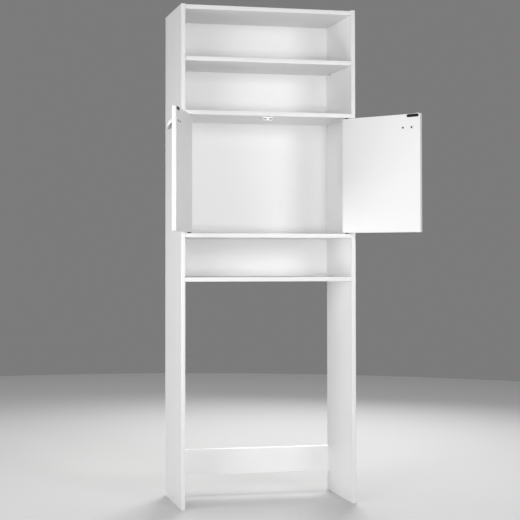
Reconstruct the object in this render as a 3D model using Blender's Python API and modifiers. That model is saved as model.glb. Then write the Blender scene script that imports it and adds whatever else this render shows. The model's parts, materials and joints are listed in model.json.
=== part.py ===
"""Washing machine cabinet: a tall, narrow carcass of white board that stands
over a washing machine, with open shelves, a two-door compartment and a niche.

Lengths are in metres, +Z is up and +Y runs into the cabinet, so its front
faces -Y. The pieces are placed in the cabinet's own frame (x = 0 at its
middle, y = 0 at its front, z = 0 at the floor). The last step moves the
whole so that the middle of its footprint, doors open, is the origin.
"""

import math

import bmesh
import bpy
from mathutils import Matrix, Vector

MM = 0.001

# Carcass
CABINET_WIDTH = 690 * MM
CABINET_DEPTH = 280 * MM
BOARD = 16 * MM                 # thickness of every melamine board
FIT_GAP = 0.3 * MM              # between pieces that touch
EDGE_EASE = 0.7 * MM            # small chamfer on the board edges
CUT_OVERRUN = 2 * MM            # how far a cutter stands out of what it cuts
WELD = 0.01 * MM                # points closer than this are one point

# Clear heights, from the floor up
BAY_CLEAR = 852 * MM            # for a machine 850 mm tall
NICHE_CLEAR = 150 * MM
DOOR_OPENING = 448 * MM
LOWER_SHELF_CLEAR = 188 * MM
UPPER_SHELF_CLEAR = 179 * MM
TOP_RECESS = 3 * MM             # the top lies this much below the sides' ends

# Loose shelf and its pins
LOOSE_SHELF_PLAY = 0.8 * MM     # at each end of the loose shelf
SHELF_PIN_INSET = 51 * MM       # from the front and from the back
SHELF_PIN_SHANK_RADIUS = 2.5 * MM
SHELF_PIN_SHANK = 9 * MM
SHELF_PIN_PEG_RADIUS = 3.5 * MM
SHELF_PIN_PEG = 9 * MM
SHELF_PIN_TIP = 0.8 * MM

# Back board in its rebate
BACK_BOARD = 3 * MM
BACK_EASE = 0.3 * MM
REBATE_DEPTH = 4.5 * MM
REBATE_WIDTH = 8 * MM
NAIL_RADIUS = 0.7 * MM
NAIL_HEAD_RADIUS = 1.8 * MM
NAIL_HEAD = 0.6 * MM            # stands out of the back board this much
NAIL_END_INSET = 60 * MM
SIDE_NAILS = 5
SHELF_NAILS = 2

# Rear rail, low in the machine bay
RAIL_HEIGHT = 100 * MM
RAIL_ABOVE_FLOOR = 80 * MM
RAIL_CAM_SHARE = 0.7            # of its height
RAIL_DOWEL_SHARE = 0.3

# Cam fixings and dowels
CAM_RADIUS = 7.2 * MM
CAM_FROM_END = 24 * MM
CAM_WEB = 3.5 * MM              # board left under a cam
CAM_INSET = 37 * MM             # from the front and the back of a board
CAM_SLOT_PAST_CENTRE = 2.5 * MM
BOLT_IN_SIDE = 9 * MM
BOLT_THREAD_RADIUS = 2.5 * MM
BOLT_COLLAR_RADIUS = 3.3 * MM
BOLT_COLLAR = 2 * MM
BOLT_NECK_RADIUS = 1.8 * MM
BOLT_HEAD_RADIUS = 2.8 * MM
BOLT_HEAD = 3 * MM
DOWEL_RADIUS = 4 * MM
DOWEL_IN_SIDE = 10 * MM
DOWEL_IN_SHELF = 20 * MM
DOWEL_TIP = 1 * MM

# Doors on pivot pins
PIVOT_FROM_SIDE = 17 * MM       # pin axis to the side's inner face
PIVOT_FROM_FRONT = 7.5 * MM     # pin axis to the door's outer face
HINGE_EDGE_GAP = 3 * MM
MEETING_GAP = 3 * MM            # between the closed doors
DOOR_END_GAP = 4 * MM           # over and under a door
LEFT_DOOR_OPEN = math.radians(113.5)
STOP_MARGIN = math.radians(2.4)  # the right door stands this far off its stop
PIVOT_PIN_RADIUS = 2.5 * MM
PIN_IN_SHELF = 12 * MM
PIN_IN_DOOR = 12 * MM
PIN_TIP = 0.7 * MM
BUSH_RADIUS = 4.5 * MM
BUSH_LENGTH = 14 * MM
FLANGE_RADIUS = 7 * MM
FLANGE_EASE = 0.6 * MM

# Cup pulls, screwed on from inside
PULL_WIDTH = 80 * MM
PULL_HEIGHT = 38 * MM
PULL_DEPTH = 25 * MM
PULL_WALL = 2.4 * MM
PULL_RIM_RISE = 25 * MM         # the rim climbs this much from lip to door
PULL_SQUARENESS = 2.7           # 2 is an ellipsoid, more is boxier
PULL_FROM_EDGE = 51 * MM        # pull's middle to the door's free edge
PULL_FROM_TOP = 41 * MM         # pull's top to the door's top
PULL_SCREW_SPACING = 35 * MM
PULL_SCREW_DROP = 9 * MM        # screws below the pull's top
BOSS_RADIUS = 3.8 * MM
SCREW_RADIUS = 1.75 * MM
SCREW_HEAD_RADIUS = 3.6 * MM
SCREW_HEAD = 2 * MM
SCREW_IN_BOSS = 9 * MM
HEAD_CROWN_SHARE = 0.55         # a pan head's flat crown, of its radius
HEAD_RIM_SHARE = 0.35           # its upright rim, of its height
TIP_SHARE = 0.4                 # a screw's blunt tip, of its radius

# Double magnetic catch and its counter plates
CATCH_WIDTH = 36 * MM
CATCH_DEPTH = 24 * MM
CATCH_HEIGHT = 14 * MM
CATCH_WALL = 2 * MM
CATCH_ROOF = 4.5 * MM           # over the pockets
CATCH_MIDDLE_WALL = 6 * MM      # between the pockets
CATCH_EASE = 0.8 * MM
EAR_LENGTH = 9 * MM
EAR_DEPTH = 13 * MM
EAR_THICKNESS = 2.5 * MM
MAGNET_DEPTH = 8 * MM
POLE_THICKNESS = 1.4 * MM
POLE_PROUD = 0.8 * MM           # pole plates stand out of the housing
PLATE_LENGTH = 48 * MM
PLATE_HEIGHT = 11 * MM
PLATE_THICKNESS = 1.6 * MM
PLATE_FROM_EDGE = 5 * MM
PLATE_FROM_TOP = 1 * MM
PLATE_SCREW_SPACING = 32 * MM
SMALL_SCREW_RADIUS = 1.4 * MM
SMALL_SCREW_HEAD_RADIUS = 2.6 * MM
SMALL_SCREW_HEAD = 1.1 * MM
SMALL_SCREW_LENGTH = 11 * MM
CLOSING_GAP = 0.4 * MM          # plate to pole plates, doors closed

# Wall brackets on the top
BRACKET_LEG = 30 * MM
BRACKET_RISE = 17 * MM
BRACKET_WIDTH = 30 * MM
BRACKET_STEEL = 1.6 * MM
BRACKET_BEND = 3 * MM           # outer radius of the bend
BRACKET_FROM_MIDDLE = 210 * MM
BRACKET_SCREW_SPACING = 16 * MM
BRACKET_SCREW_INSET = 10 * MM   # from the leg's front end
WALL_HOLE_RADIUS = 2.6 * MM
WALL_HOLE_INSET = 7 * MM        # from the upright leg's top

# Facets round a turned piece
FEW_SIDES = 6
COARSE_SIDES = 8
MEDIUM_SIDES = 12
FINE_SIDES = 16
BEND_STEPS = 3
PULL_SEGMENTS = 24
PULL_RINGS = 16

# Levels and planes that follow from the sizes above
INNER_HALF = CABINET_WIDTH / 2 - BOARD
SHELF_END = INNER_HALF - FIT_GAP
BAY_CEILING_UNDERSIDE = BAY_CLEAR
FLOOR_UNDERSIDE = BAY_CEILING_UNDERSIDE + BOARD + NICHE_CLEAR
DOOR_FLOOR = FLOOR_UNDERSIDE + BOARD
CEILING_UNDERSIDE = DOOR_FLOOR + DOOR_OPENING
LOOSE_UNDERSIDE = CEILING_UNDERSIDE + BOARD + LOWER_SHELF_CLEAR
TOP_UNDERSIDE = LOOSE_UNDERSIDE + BOARD + UPPER_SHELF_CLEAR
TOP_SURFACE = TOP_UNDERSIDE + BOARD
CABINET_HEIGHT = TOP_SURFACE + TOP_RECESS
SHELF_DEPTH = CABINET_DEPTH - REBATE_DEPTH
BACK_FRONT = SHELF_DEPTH + FIT_GAP
BACK_REAR = BACK_FRONT + BACK_BOARD
SHELF_PIN_Z = LOOSE_UNDERSIDE - FIT_GAP - SHELF_PIN_PEG_RADIUS
SHELF_PIN_DEPTHS = {"front": SHELF_PIN_INSET,
                    "rear": CABINET_DEPTH - SHELF_PIN_INSET}
CAM_HEIGHT = BOARD - CAM_WEB

PIVOT_X = INNER_HALF - PIVOT_FROM_SIDE
DOOR_HALF = DOOR_OPENING / 2 - DOOR_END_GAP
DOOR_MIDDLE = DOOR_FLOOR + DOOR_OPENING / 2
DOOR_WIDTH = INNER_HALF - HINGE_EDGE_GAP - MEETING_GAP / 2
DOOR_HINGE_EDGE = PIVOT_FROM_SIDE - HINGE_EDGE_GAP
DOOR_FREE_EDGE = DOOR_WIDTH - DOOR_HINGE_EDGE
DOOR_OUTER_FACE = -PIVOT_FROM_FRONT
DOOR_INNER_FACE = BOARD - PIVOT_FROM_FRONT
DOOR_STOP = 2 * math.atan2(PIVOT_FROM_SIDE, PIVOT_FROM_FRONT)
RIGHT_DOOR_OPEN = DOOR_STOP - STOP_MARGIN
PULL_Z = DOOR_HALF - PULL_FROM_TOP - PULL_HEIGHT
PULL_SCREW_Z = DOOR_HALF - PULL_FROM_TOP - PULL_SCREW_DROP
PLATE_SEAT = DOOR_INNER_FACE + FIT_GAP
PLATE_Z = DOOR_HALF - PLATE_FROM_TOP - PLATE_HEIGHT / 2

POLE_FRONT = BOARD + FIT_GAP + PLATE_THICKNESS + CLOSING_GAP
CATCH_FRONT = POLE_FRONT + POLE_PROUD
CATCH_MIDDLE = CATCH_FRONT + CATCH_DEPTH / 2
CATCH_TOP = CEILING_UNDERSIDE - FIT_GAP
CATCH_SCREW_X = CATCH_WIDTH / 2 + EAR_LENGTH / 2

SIDES = (("left", -1), ("right", 1))
LEVELS = (("lower", -1), ("upper", 1))
ENDS = (-1, 1)

# Finishes: base colour, roughness, metallic
WHITE_MELAMINE = ((0.82, 0.82, 0.81), 0.42, 0.0)
WHITE_PLASTIC = ((0.86, 0.86, 0.85), 0.35, 0.0)
WHITE_HARDBOARD = ((0.78, 0.78, 0.77), 0.55, 0.0)
BLACK_PLASTIC = ((0.015, 0.015, 0.016), 0.45, 0.0)
BLACK_STEEL = ((0.02, 0.02, 0.022), 0.4, 0.6)
BRIGHT_STEEL = ((0.62, 0.62, 0.63), 0.3, 1.0)
DARK_FERRITE = ((0.06, 0.06, 0.065), 0.6, 0.2)
ZINC = ((0.55, 0.56, 0.58), 0.4, 1.0)
BEECH = ((0.62, 0.43, 0.26), 0.6, 0.0)


# Scene

def clear_scene():
    for obj in list(bpy.data.objects):
        bpy.data.objects.remove(obj, do_unlink=True)


def new_collection(name):
    collection = bpy.data.collections.new(name)
    bpy.context.scene.collection.children.link(collection)
    return collection


clear_scene()
PARTS = new_collection("washing_machine_cabinet")
CUTTERS = new_collection("cutters")


def new_empty(name, parent=None, location=(0, 0, 0), turn=0):
    empty = bpy.data.objects.new(name, None)
    empty.location = location
    empty.rotation_euler.z = turn
    empty.parent = parent
    PARTS.objects.link(empty)
    return empty


def add_finish(obj, finish):
    colour, roughness, metallic = finish
    material = bpy.data.materials.new(f"{obj.name}_finish")
    material.use_nodes = True
    shader = material.node_tree.nodes["Principled BSDF"]
    shader.inputs["Base Color"].default_value = (*colour, 1)
    shader.inputs["Roughness"].default_value = roughness
    shader.inputs["Metallic"].default_value = metallic
    material.diffuse_color = (*colour, 1)
    obj.data.materials.append(material)


def new_part(name, mesh, finish, parent, location=(0, 0, 0)):
    part = bpy.data.objects.new(name, mesh)
    part.location = location
    part.parent = parent
    PARTS.objects.link(part)
    add_finish(part, finish)
    return part


def new_copies(mesh, places, finish, parent):
    """Copies of one turned piece: places maps each copy's name to its
    position and the direction that local +Z points in."""
    for name, (position, direction) in places.items():
        piece = new_part(name, mesh.copy(), finish, parent, position)
        piece.rotation_euler = turn_to(direction).to_euler()
        smooth(piece)


# Meshes

def add_box(bm, low, high):
    """A box between two corners, given in any order."""
    low = Vector(low)
    high = Vector(high)
    size = [abs(length) for length in high - low]
    place = Matrix.Translation((low + high) / 2) @ Matrix.Diagonal((*size, 1))
    bmesh.ops.create_cube(bm, size=1, matrix=place)


def turn_to(direction):
    """The rotation that carries +Z to a direction."""
    return Vector(direction).to_track_quat("Z", "Y")


def aimed(position, direction):
    """The matrix that carries +Z to a direction, at a position."""
    turn = turn_to(direction).to_matrix().to_4x4()
    return Matrix.Translation(position) @ turn


def add_rod(bm, radius, start, end, sides, end_radius=None):
    """A cylinder from start to end, or a cone where the radii differ."""
    start = Vector(start)
    end = Vector(end)
    run = end - start
    place = aimed((start + end) / 2, run)
    bmesh.ops.create_cone(bm, cap_ends=True, segments=sides, radius1=radius,
                          radius2=end_radius or radius, depth=run.length,
                          matrix=place)


def bake(bm, name):
    """Turns a bmesh into a mesh whose faces all point out."""
    mesh = bpy.data.meshes.new(name)
    bmesh.ops.recalc_face_normals(bm, faces=bm.faces)
    bm.to_mesh(mesh)
    bm.free()
    return mesh


def bake_object(obj, name):
    """The mesh of an object with its modifiers, which is then removed."""
    graph = bpy.context.evaluated_depsgraph_get()
    evaluated = bpy.data.meshes.new_from_object(obj.evaluated_get(graph))
    bm = bmesh.new()
    bm.from_mesh(evaluated)
    bmesh.ops.remove_doubles(bm, verts=bm.verts, dist=WELD)
    bpy.data.meshes.remove(evaluated)
    bpy.data.objects.remove(obj, do_unlink=True)
    return bake(bm, name)


def turned_mesh(name, profile, sides):
    """A solid turned about Z with a Screw modifier, from a profile of
    (radius, height) points that runs from the axis back to the axis."""
    outline = bpy.data.meshes.new(f"{name}_profile")
    points = [(radius, 0, height) for radius, height in profile]
    edges = [(i, i + 1) for i in range(len(points) - 1)]
    outline.from_pydata(points, edges, [])
    lathe = bpy.data.objects.new(f"{name}_lathe", outline)
    CUTTERS.objects.link(lathe)
    screw = lathe.modifiers.new("turn", "SCREW")
    screw.steps = sides
    screw.render_steps = sides
    screw.use_merge_vertices = True
    screw.merge_threshold = WELD
    return bake_object(lathe, name)


def extruded_mesh(name, points, thickness):
    """A filled 2D outline, extruded half its thickness each way along Z."""
    curve = bpy.data.curves.new(name, "CURVE")
    curve.dimensions = "2D"
    curve.fill_mode = "BOTH"
    curve.extrude = thickness / 2
    outline = curve.splines.new("POLY")
    outline.points.add(len(points) - 1)
    for point, (across, up) in zip(outline.points, points):
        point.co = (across, up, 0, 1)
    outline.use_cyclic_u = True
    shape = bpy.data.objects.new(name, curve)
    CUTTERS.objects.link(shape)
    return bake_object(shape, name)


def arc(centre, radius, start, end, steps):
    """Points on an arc, with its angles in quarter turns."""
    angles = [math.pi / 2 * (start + (end - start) * i / steps)
              for i in range(steps + 1)]
    return [(centre[0] + radius * math.cos(angle),
             centre[1] + radius * math.sin(angle)) for angle in angles]


def stadium_mesh(name, length, width, thickness):
    """A flat plate with round ends, lying in X and Y."""
    reach = (length - width) / 2
    points = (arc((reach, 0), width / 2, -1, 1, MEDIUM_SIDES // 2)
              + arc((-reach, 0), width / 2, 1, 3, MEDIUM_SIDES // 2))
    return extruded_mesh(name, points, thickness)


def screw_mesh(name, length):
    """A pan-head screw: its head seats at z = 0 and its tip is at -length."""
    head_rim = SCREW_HEAD * HEAD_RIM_SHARE
    profile = [(0, SCREW_HEAD), (SCREW_HEAD_RADIUS * HEAD_CROWN_SHARE,
                                 SCREW_HEAD),
               (SCREW_HEAD_RADIUS, head_rim), (SCREW_HEAD_RADIUS, 0),
               (SCREW_RADIUS, 0), (SCREW_RADIUS, SCREW_RADIUS - length),
               (SCREW_RADIUS * TIP_SHARE, -length), (0, -length)]
    return turned_mesh(name, profile, COARSE_SIDES)


def flat_screw_mesh(name):
    """A small countersunk screw: its flat head's top is at z = 0."""
    tip = -SMALL_SCREW_LENGTH
    profile = [(0, 0), (SMALL_SCREW_HEAD_RADIUS, 0),
               (SMALL_SCREW_RADIUS, -SMALL_SCREW_HEAD),
               (SMALL_SCREW_RADIUS, tip + SMALL_SCREW_RADIUS),
               (SMALL_SCREW_RADIUS * TIP_SHARE, tip), (0, tip)]
    return turned_mesh(name, profile, COARSE_SIDES)


# Working on a piece

def smooth(obj):
    """Round pieces are shaded smooth, with their sharp rims kept."""
    obj.data.shade_smooth()
    obj.data.set_sharp_from_angle(angle=math.radians(40))


def ease_edges(obj, width):
    bevel = obj.modifiers.new("eased_edges", "BEVEL")
    bevel.width = width
    bevel.segments = 1
    bevel.limit_method = "ANGLE"


def new_board(name, low, high, parent, finish=WHITE_MELAMINE, ease=EDGE_EASE):
    """A board with eased edges between two corners."""
    bm = bmesh.new()
    add_box(bm, low, high)
    board = new_part(name, bake(bm, name), finish, parent)
    ease_edges(board, ease)
    return board


def combine(obj, label, mesh, operation="DIFFERENCE"):
    """Cuts a mesh out of a piece, or joins it on, in the piece's frame."""
    cutter = bpy.data.objects.new(f"{obj.name}_{label}", mesh)
    cutter.location = obj.location
    cutter.parent = obj.parent
    cutter.hide_render = True
    cutter.display_type = "WIRE"
    CUTTERS.objects.link(cutter)
    boolean = obj.modifiers.new(label, "BOOLEAN")
    boolean.operation = operation
    boolean.object = cutter
    return cutter


def drill(obj, label, holes, sides=COARSE_SIDES):
    """Drills holes that clear each radius by the fit gap on the flats of
    their facets. A hole is (radius, start, end)."""
    bm = bmesh.new()
    for radius, start, end in holes:
        add_rod(bm, (radius + FIT_GAP) / math.cos(math.pi / sides), start,
                end, sides)
    combine(obj, label, bake(bm, label))


def fuse(obj, label, mesh, places):
    """Joins copies of a solid onto a piece, at places given as matrices."""
    bm = bmesh.new()
    for place in places:
        copy = mesh.copy()
        copy.transform(place)
        bm.from_mesh(copy)
        bpy.data.meshes.remove(copy)
    combine(obj, label, bake(bm, label), "UNION")


def spread(low, high, count):
    """Evenly spaced values from low to high, both included."""
    return [low + (high - low) * i / (count - 1) for i in range(count)]


# Where the fixed boards are joined to the sides, as (depth, height) on their
# middle planes, and the face of the board that its cams open on

UP = Vector((0, 0, 1))
DOWN = Vector((0, 0, -1))
REARWARD = Vector((0, 1, 0))


def shelf_joints(underside, cam_face):
    middle = underside + BOARD / 2
    return {"cams": [(CAM_INSET, middle), (SHELF_DEPTH - CAM_INSET, middle)],
            "dowels": [(SHELF_DEPTH / 2, middle)], "cam_face": cam_face}


def rail_joints():
    depth = SHELF_DEPTH - BOARD / 2
    cam = RAIL_ABOVE_FLOOR + RAIL_HEIGHT * RAIL_CAM_SHARE
    dowel = RAIL_ABOVE_FLOOR + RAIL_HEIGHT * RAIL_DOWEL_SHARE
    return {"cams": [(depth, cam)], "dowels": [(depth, dowel)],
            "cam_face": REARWARD}


JOINTS = {
    "top_panel": shelf_joints(TOP_UNDERSIDE, UP),
    "door_compartment_ceiling": shelf_joints(CEILING_UNDERSIDE, UP),
    "door_compartment_floor": shelf_joints(FLOOR_UNDERSIDE, DOWN),
    "machine_bay_ceiling": shelf_joints(BAY_CEILING_UNDERSIDE, DOWN),
    "rear_rail": rail_joints(),
}


def cam_centres(joint):
    """Each cam's side and its centre on the board's middle plane."""
    reach = INNER_HALF - CAM_FROM_END
    return [(side, Vector((side * reach, depth, height)))
            for side in ENDS for depth, height in joint["cams"]]


def cam_mesh():
    """A cam about its centre on the board's middle plane, with the bolt that
    it grips: local +Z points out of the board and local +X along the bolt,
    which enters by a slot. The cam reaches FIT_GAP into the floor of its
    hole, and the bolt's head as far into the cam."""
    face = BOARD / 2
    bm = bmesh.new()
    add_rod(bm, CAM_RADIUS, (0, 0, face - CAM_HEIGHT - FIT_GAP),
            (0, 0, face - FIT_GAP), MEDIUM_SIDES)
    blank = bpy.data.objects.new("cam_blank", bake(bm, "cam_blank"))
    CUTTERS.objects.link(blank)
    drill(blank, "bolt_slot",
          [(BOLT_HEAD_RADIUS, (-CAM_SLOT_PAST_CENTRE, 0, 0),
            (CAM_RADIUS + CUT_OVERRUN, 0, 0))])
    bolt = bolt_mesh()
    bolt.transform(aimed((CAM_FROM_END, 0, 0), (-1, 0, 0)))
    combine(blank, "bolt", bolt, "UNION")
    return bake_object(blank, "cam")


def join_board(board, joint):
    """Drills a board for its cams, their bolts and its dowels, and seats
    the cams and bolts, which are one solid with the board they pull on."""
    out = joint["cam_face"] * (BOARD / 2 + CUT_OVERRUN)
    into = joint["cam_face"] * (BOARD / 2 - CAM_HEIGHT)
    mouth = SHELF_END + CUT_OVERRUN
    inner = SHELF_END - DOWEL_IN_SHELF - FIT_GAP
    cams = []
    ends = []
    for side, centre in cam_centres(joint):
        cams.append((CAM_RADIUS, centre + into, centre + out))
        ends.append((BOLT_COLLAR_RADIUS, centre,
                     (side * mouth, centre.y, centre.z)))
    for side in ENDS:
        ends += [(DOWEL_RADIUS, (side * inner, y, z), (side * mouth, y, z))
                 for y, z in joint["dowels"]]
    drill(board, "cam_holes", cams, MEDIUM_SIDES)
    drill(board, "end_holes", ends)
    face = joint["cam_face"]
    places = []
    for side, centre in cam_centres(joint):
        along = Vector((side, 0, 0))
        axes = Matrix((along, face.cross(along), face)).transposed()
        places.append(Matrix.Translation(centre) @ axes.to_4x4())
    fuse(board, "cams", cam_mesh(), places)


def bolt_mesh():
    """A cam bolt about the side's inner face: its thread is in the side and
    it stands along local +Z into the board's end, up to the cam."""
    end = CAM_FROM_END + CAM_SLOT_PAST_CENTRE + FIT_GAP
    profile = [(0, end), (BOLT_HEAD_RADIUS, end),
               (BOLT_HEAD_RADIUS, end - BOLT_HEAD),
               (BOLT_NECK_RADIUS, end - BOLT_HEAD),
               (BOLT_NECK_RADIUS, BOLT_COLLAR),
               (BOLT_COLLAR_RADIUS, BOLT_COLLAR),
               (BOLT_COLLAR_RADIUS, FIT_GAP), (BOLT_THREAD_RADIUS, FIT_GAP),
               (BOLT_THREAD_RADIUS, -BOLT_IN_SIDE), (0, -BOLT_IN_SIDE)]
    return turned_mesh("cam_bolt", profile, FEW_SIDES)


def nail_places():
    """Where the back board's nails go, as (x, z): down each side's rebate
    and along the rear edge of each fixed shelf."""
    column = INNER_HALF + REBATE_WIDTH / 2
    heights = spread(BAY_CEILING_UNDERSIDE + NAIL_END_INSET,
                     TOP_SURFACE - NAIL_END_INSET, SIDE_NAILS)
    row = spread(-INNER_HALF / 2, INNER_HALF / 2, SHELF_NAILS)
    places = [(side * column, z) for side in ENDS for z in heights]
    for underside in (BAY_CEILING_UNDERSIDE, FLOOR_UNDERSIDE,
                      CEILING_UNDERSIDE, TOP_UNDERSIDE):
        places += [(x, underside + BOARD / 2) for x in row]
    return places


def drive_nails(board, belongs):
    """Drives the nails that belongs() picks into a board's rear edge, as one
    solid with it. Their heads hold the back board."""
    under_head = BACK_REAR + FIT_GAP - SHELF_DEPTH
    head = under_head + NAIL_HEAD
    profile = [(0, head), (NAIL_HEAD_RADIUS, head),
               (NAIL_HEAD_RADIUS, under_head), (NAIL_RADIUS, under_head),
               (NAIL_RADIUS, -NAIL_HEAD_RADIUS), (0, -NAIL_HEAD_RADIUS)]
    fuse(board, "nails", turned_mesh("nail", profile, FEW_SIDES),
         [aimed((x, SHELF_DEPTH, z), REARWARD) for x, z in nail_places()
          if belongs(x, z)])


# Carcass

def make_side(name, side, root):
    """A side panel, with its rebate and the holes in its inner face."""
    inner = side * INNER_HALF
    mouth = inner - side * CUT_OVERRUN
    panel = new_board(f"{name}_side_panel", (inner, 0, 0),
                      (inner + side * BOARD, CABINET_DEPTH, CABINET_HEIGHT),
                      root)
    bm = bmesh.new()
    add_box(bm, (mouth, SHELF_DEPTH, -CUT_OVERRUN),
            (inner + side * REBATE_WIDTH, CABINET_DEPTH + CUT_OVERRUN,
             CABINET_HEIGHT + CUT_OVERRUN))
    combine(panel, "rebate", bake(bm, "rebate"))
    pin_end = inner + side * (SHELF_PIN_SHANK + FIT_GAP)
    drill(panel, "shelf_pin_holes",
          [(SHELF_PIN_SHANK_RADIUS, (mouth, y, SHELF_PIN_Z),
            (pin_end, y, SHELF_PIN_Z)) for y in SHELF_PIN_DEPTHS.values()])
    dowel_end = inner + side * (DOWEL_IN_SIDE + FIT_GAP)
    drill(panel, "dowel_holes",
          [(DOWEL_RADIUS, (mouth, y, z), (dowel_end, y, z))
           for joint in JOINTS.values() for y, z in joint["dowels"]])
    bolt_end = inner + side * (BOLT_IN_SIDE + FIT_GAP)
    drill(panel, "bolt_holes",
          [(BOLT_THREAD_RADIUS, (mouth, y, z), (bolt_end, y, z))
           for joint in JOINTS.values() for y, z in joint["cams"]])
    drive_nails(panel, lambda x, z: x * side > INNER_HALF)


def make_shelf(name, underside, root):
    """A fixed board between the sides."""
    shelf = new_board(name, (-SHELF_END, 0, underside),
                      (SHELF_END, SHELF_DEPTH, underside + BOARD), root)
    join_board(shelf, JOINTS[name])
    drive_nails(shelf, lambda x, z: abs(x) < INNER_HALF
                and underside < z < underside + BOARD)
    return shelf


def make_shelves(root):
    top = make_shelf("top_panel", TOP_UNDERSIDE, root)
    drill(top, "bracket_screw_holes",
          [(SMALL_SCREW_RADIUS, (x, y, TOP_SURFACE + CUT_OVERRUN),
            (x, y, TOP_SURFACE - SMALL_SCREW_LENGTH))
           for x, y in bracket_screw_places()])
    ceiling = make_shelf("door_compartment_ceiling", CEILING_UNDERSIDE, root)
    floor = make_shelf("door_compartment_floor", FLOOR_UNDERSIDE, root)
    make_shelf("machine_bay_ceiling", BAY_CEILING_UNDERSIDE, root)
    below = CEILING_UNDERSIDE - CUT_OVERRUN
    above = DOOR_FLOOR + CUT_OVERRUN
    drill(ceiling, "catch_screw_holes",
          [(SMALL_SCREW_RADIUS, (end * CATCH_SCREW_X, CATCH_MIDDLE, below),
            (end * CATCH_SCREW_X, CATCH_MIDDLE,
             CEILING_UNDERSIDE + SMALL_SCREW_LENGTH)) for end in ENDS])
    pin_end = PIN_IN_SHELF + FIT_GAP
    drill(ceiling, "pivot_pin_holes",
          [(PIVOT_PIN_RADIUS, (side * PIVOT_X, PIVOT_FROM_FRONT, below),
            (side * PIVOT_X, PIVOT_FROM_FRONT, CEILING_UNDERSIDE + pin_end))
           for side in ENDS], MEDIUM_SIDES)
    drill(floor, "pivot_pin_holes",
          [(PIVOT_PIN_RADIUS, (side * PIVOT_X, PIVOT_FROM_FRONT, above),
            (side * PIVOT_X, PIVOT_FROM_FRONT, DOOR_FLOOR - pin_end))
           for side in ENDS], MEDIUM_SIDES)


def make_back(root):
    """The thin back board, in the sides' rebates and over the shelves' rear
    edges, with holes for the nails that hold it. The machine bay below it
    stays open at the back."""
    reach = INNER_HALF + REBATE_WIDTH - FIT_GAP
    back = new_board("back_board", (-reach, BACK_FRONT, BAY_CEILING_UNDERSIDE),
                     (reach, BACK_REAR, TOP_SURFACE), root, WHITE_HARDBOARD,
                     BACK_EASE)
    drill(back, "nail_holes",
          [(NAIL_RADIUS, (x, BACK_FRONT - CUT_OVERRUN, z),
            (x, BACK_REAR + CUT_OVERRUN, z)) for x, z in nail_places()],
          FEW_SIDES)


def make_rail(root):
    """The rail that ties the sides behind the machine."""
    rail = new_board("rear_rail",
                     (-SHELF_END, SHELF_DEPTH - BOARD, RAIL_ABOVE_FLOOR),
                     (SHELF_END, SHELF_DEPTH, RAIL_ABOVE_FLOOR + RAIL_HEIGHT),
                     root)
    join_board(rail, JOINTS["rear_rail"])


def make_loose_shelf(root):
    """The shelf that lies loose on four pins in the sides."""
    half = INNER_HALF - LOOSE_SHELF_PLAY
    new_board("loose_shelf", (-half, 0, LOOSE_UNDERSIDE),
              (half, SHELF_DEPTH, LOOSE_UNDERSIDE + BOARD), root)
    profile = [(0, SHELF_PIN_PEG),
               (SHELF_PIN_PEG_RADIUS - SHELF_PIN_TIP, SHELF_PIN_PEG),
               (SHELF_PIN_PEG_RADIUS, SHELF_PIN_PEG - SHELF_PIN_TIP),
               (SHELF_PIN_PEG_RADIUS, FIT_GAP),
               (SHELF_PIN_SHANK_RADIUS, FIT_GAP),
               (SHELF_PIN_SHANK_RADIUS, SHELF_PIN_TIP - SHELF_PIN_SHANK),
               (SHELF_PIN_SHANK_RADIUS - SHELF_PIN_TIP, -SHELF_PIN_SHANK),
               (0, -SHELF_PIN_SHANK)]
    places = {f"{name}_{end}_shelf_pin": ((side * INNER_HALF, y, SHELF_PIN_Z),
                                          (-side, 0, 0))
              for name, side in SIDES for end, y in SHELF_PIN_DEPTHS.items()}
    new_copies(turned_mesh("shelf_pin", profile, MEDIUM_SIDES), places,
               BRIGHT_STEEL, root)


def make_dowels(root):
    tip = DOWEL_RADIUS - DOWEL_TIP
    profile = [(0, DOWEL_IN_SHELF), (tip, DOWEL_IN_SHELF),
               (DOWEL_RADIUS, DOWEL_IN_SHELF - DOWEL_TIP),
               (DOWEL_RADIUS, DOWEL_TIP - DOWEL_IN_SIDE),
               (tip, -DOWEL_IN_SIDE), (0, -DOWEL_IN_SIDE)]
    places = {f"{name}_{board}_dowel": ((side * SHELF_END, y, z), (-side, 0, 0))
              for name, side in SIDES for board, joint in JOINTS.items()
              for y, z in joint["dowels"]}
    new_copies(turned_mesh("dowel", profile, COARSE_SIDES), places, BEECH, root)


# Doors

def make_door(name, side, hinge):
    """A door, drawn closed about its pivot axis: its inner face looks along
    +Y and its free edge lies at x = -side * DOOR_FREE_EDGE."""
    door = new_board(f"{name}_door",
                     (side * DOOR_HINGE_EDGE, DOOR_OUTER_FACE, -DOOR_HALF),
                     (-side * DOOR_FREE_EDGE, DOOR_INNER_FACE, DOOR_HALF),
                     hinge)
    drill(door, "bush_holes",
          [(BUSH_RADIUS, (0, 0, end * (DOOR_HALF - BUSH_LENGTH - FIT_GAP)),
            (0, 0, end * (DOOR_HALF + CUT_OVERRUN))) for end in ENDS],
          MEDIUM_SIDES)
    outside = DOOR_OUTER_FACE - CUT_OVERRUN
    inside = DOOR_INNER_FACE + CUT_OVERRUN
    drill(door, "pull_screw_holes",
          [(SCREW_RADIUS, (x, outside, PULL_SCREW_Z), (x, inside, PULL_SCREW_Z))
           for x in pull_screw_places(side)])
    tip = PLATE_SEAT + PLATE_THICKNESS - SMALL_SCREW_LENGTH - FIT_GAP
    drill(door, "plate_screw_holes",
          [(SMALL_SCREW_RADIUS, (x, tip, PLATE_Z), (x, inside, PLATE_Z))
           for x in plate_screw_places(side)])


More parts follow.
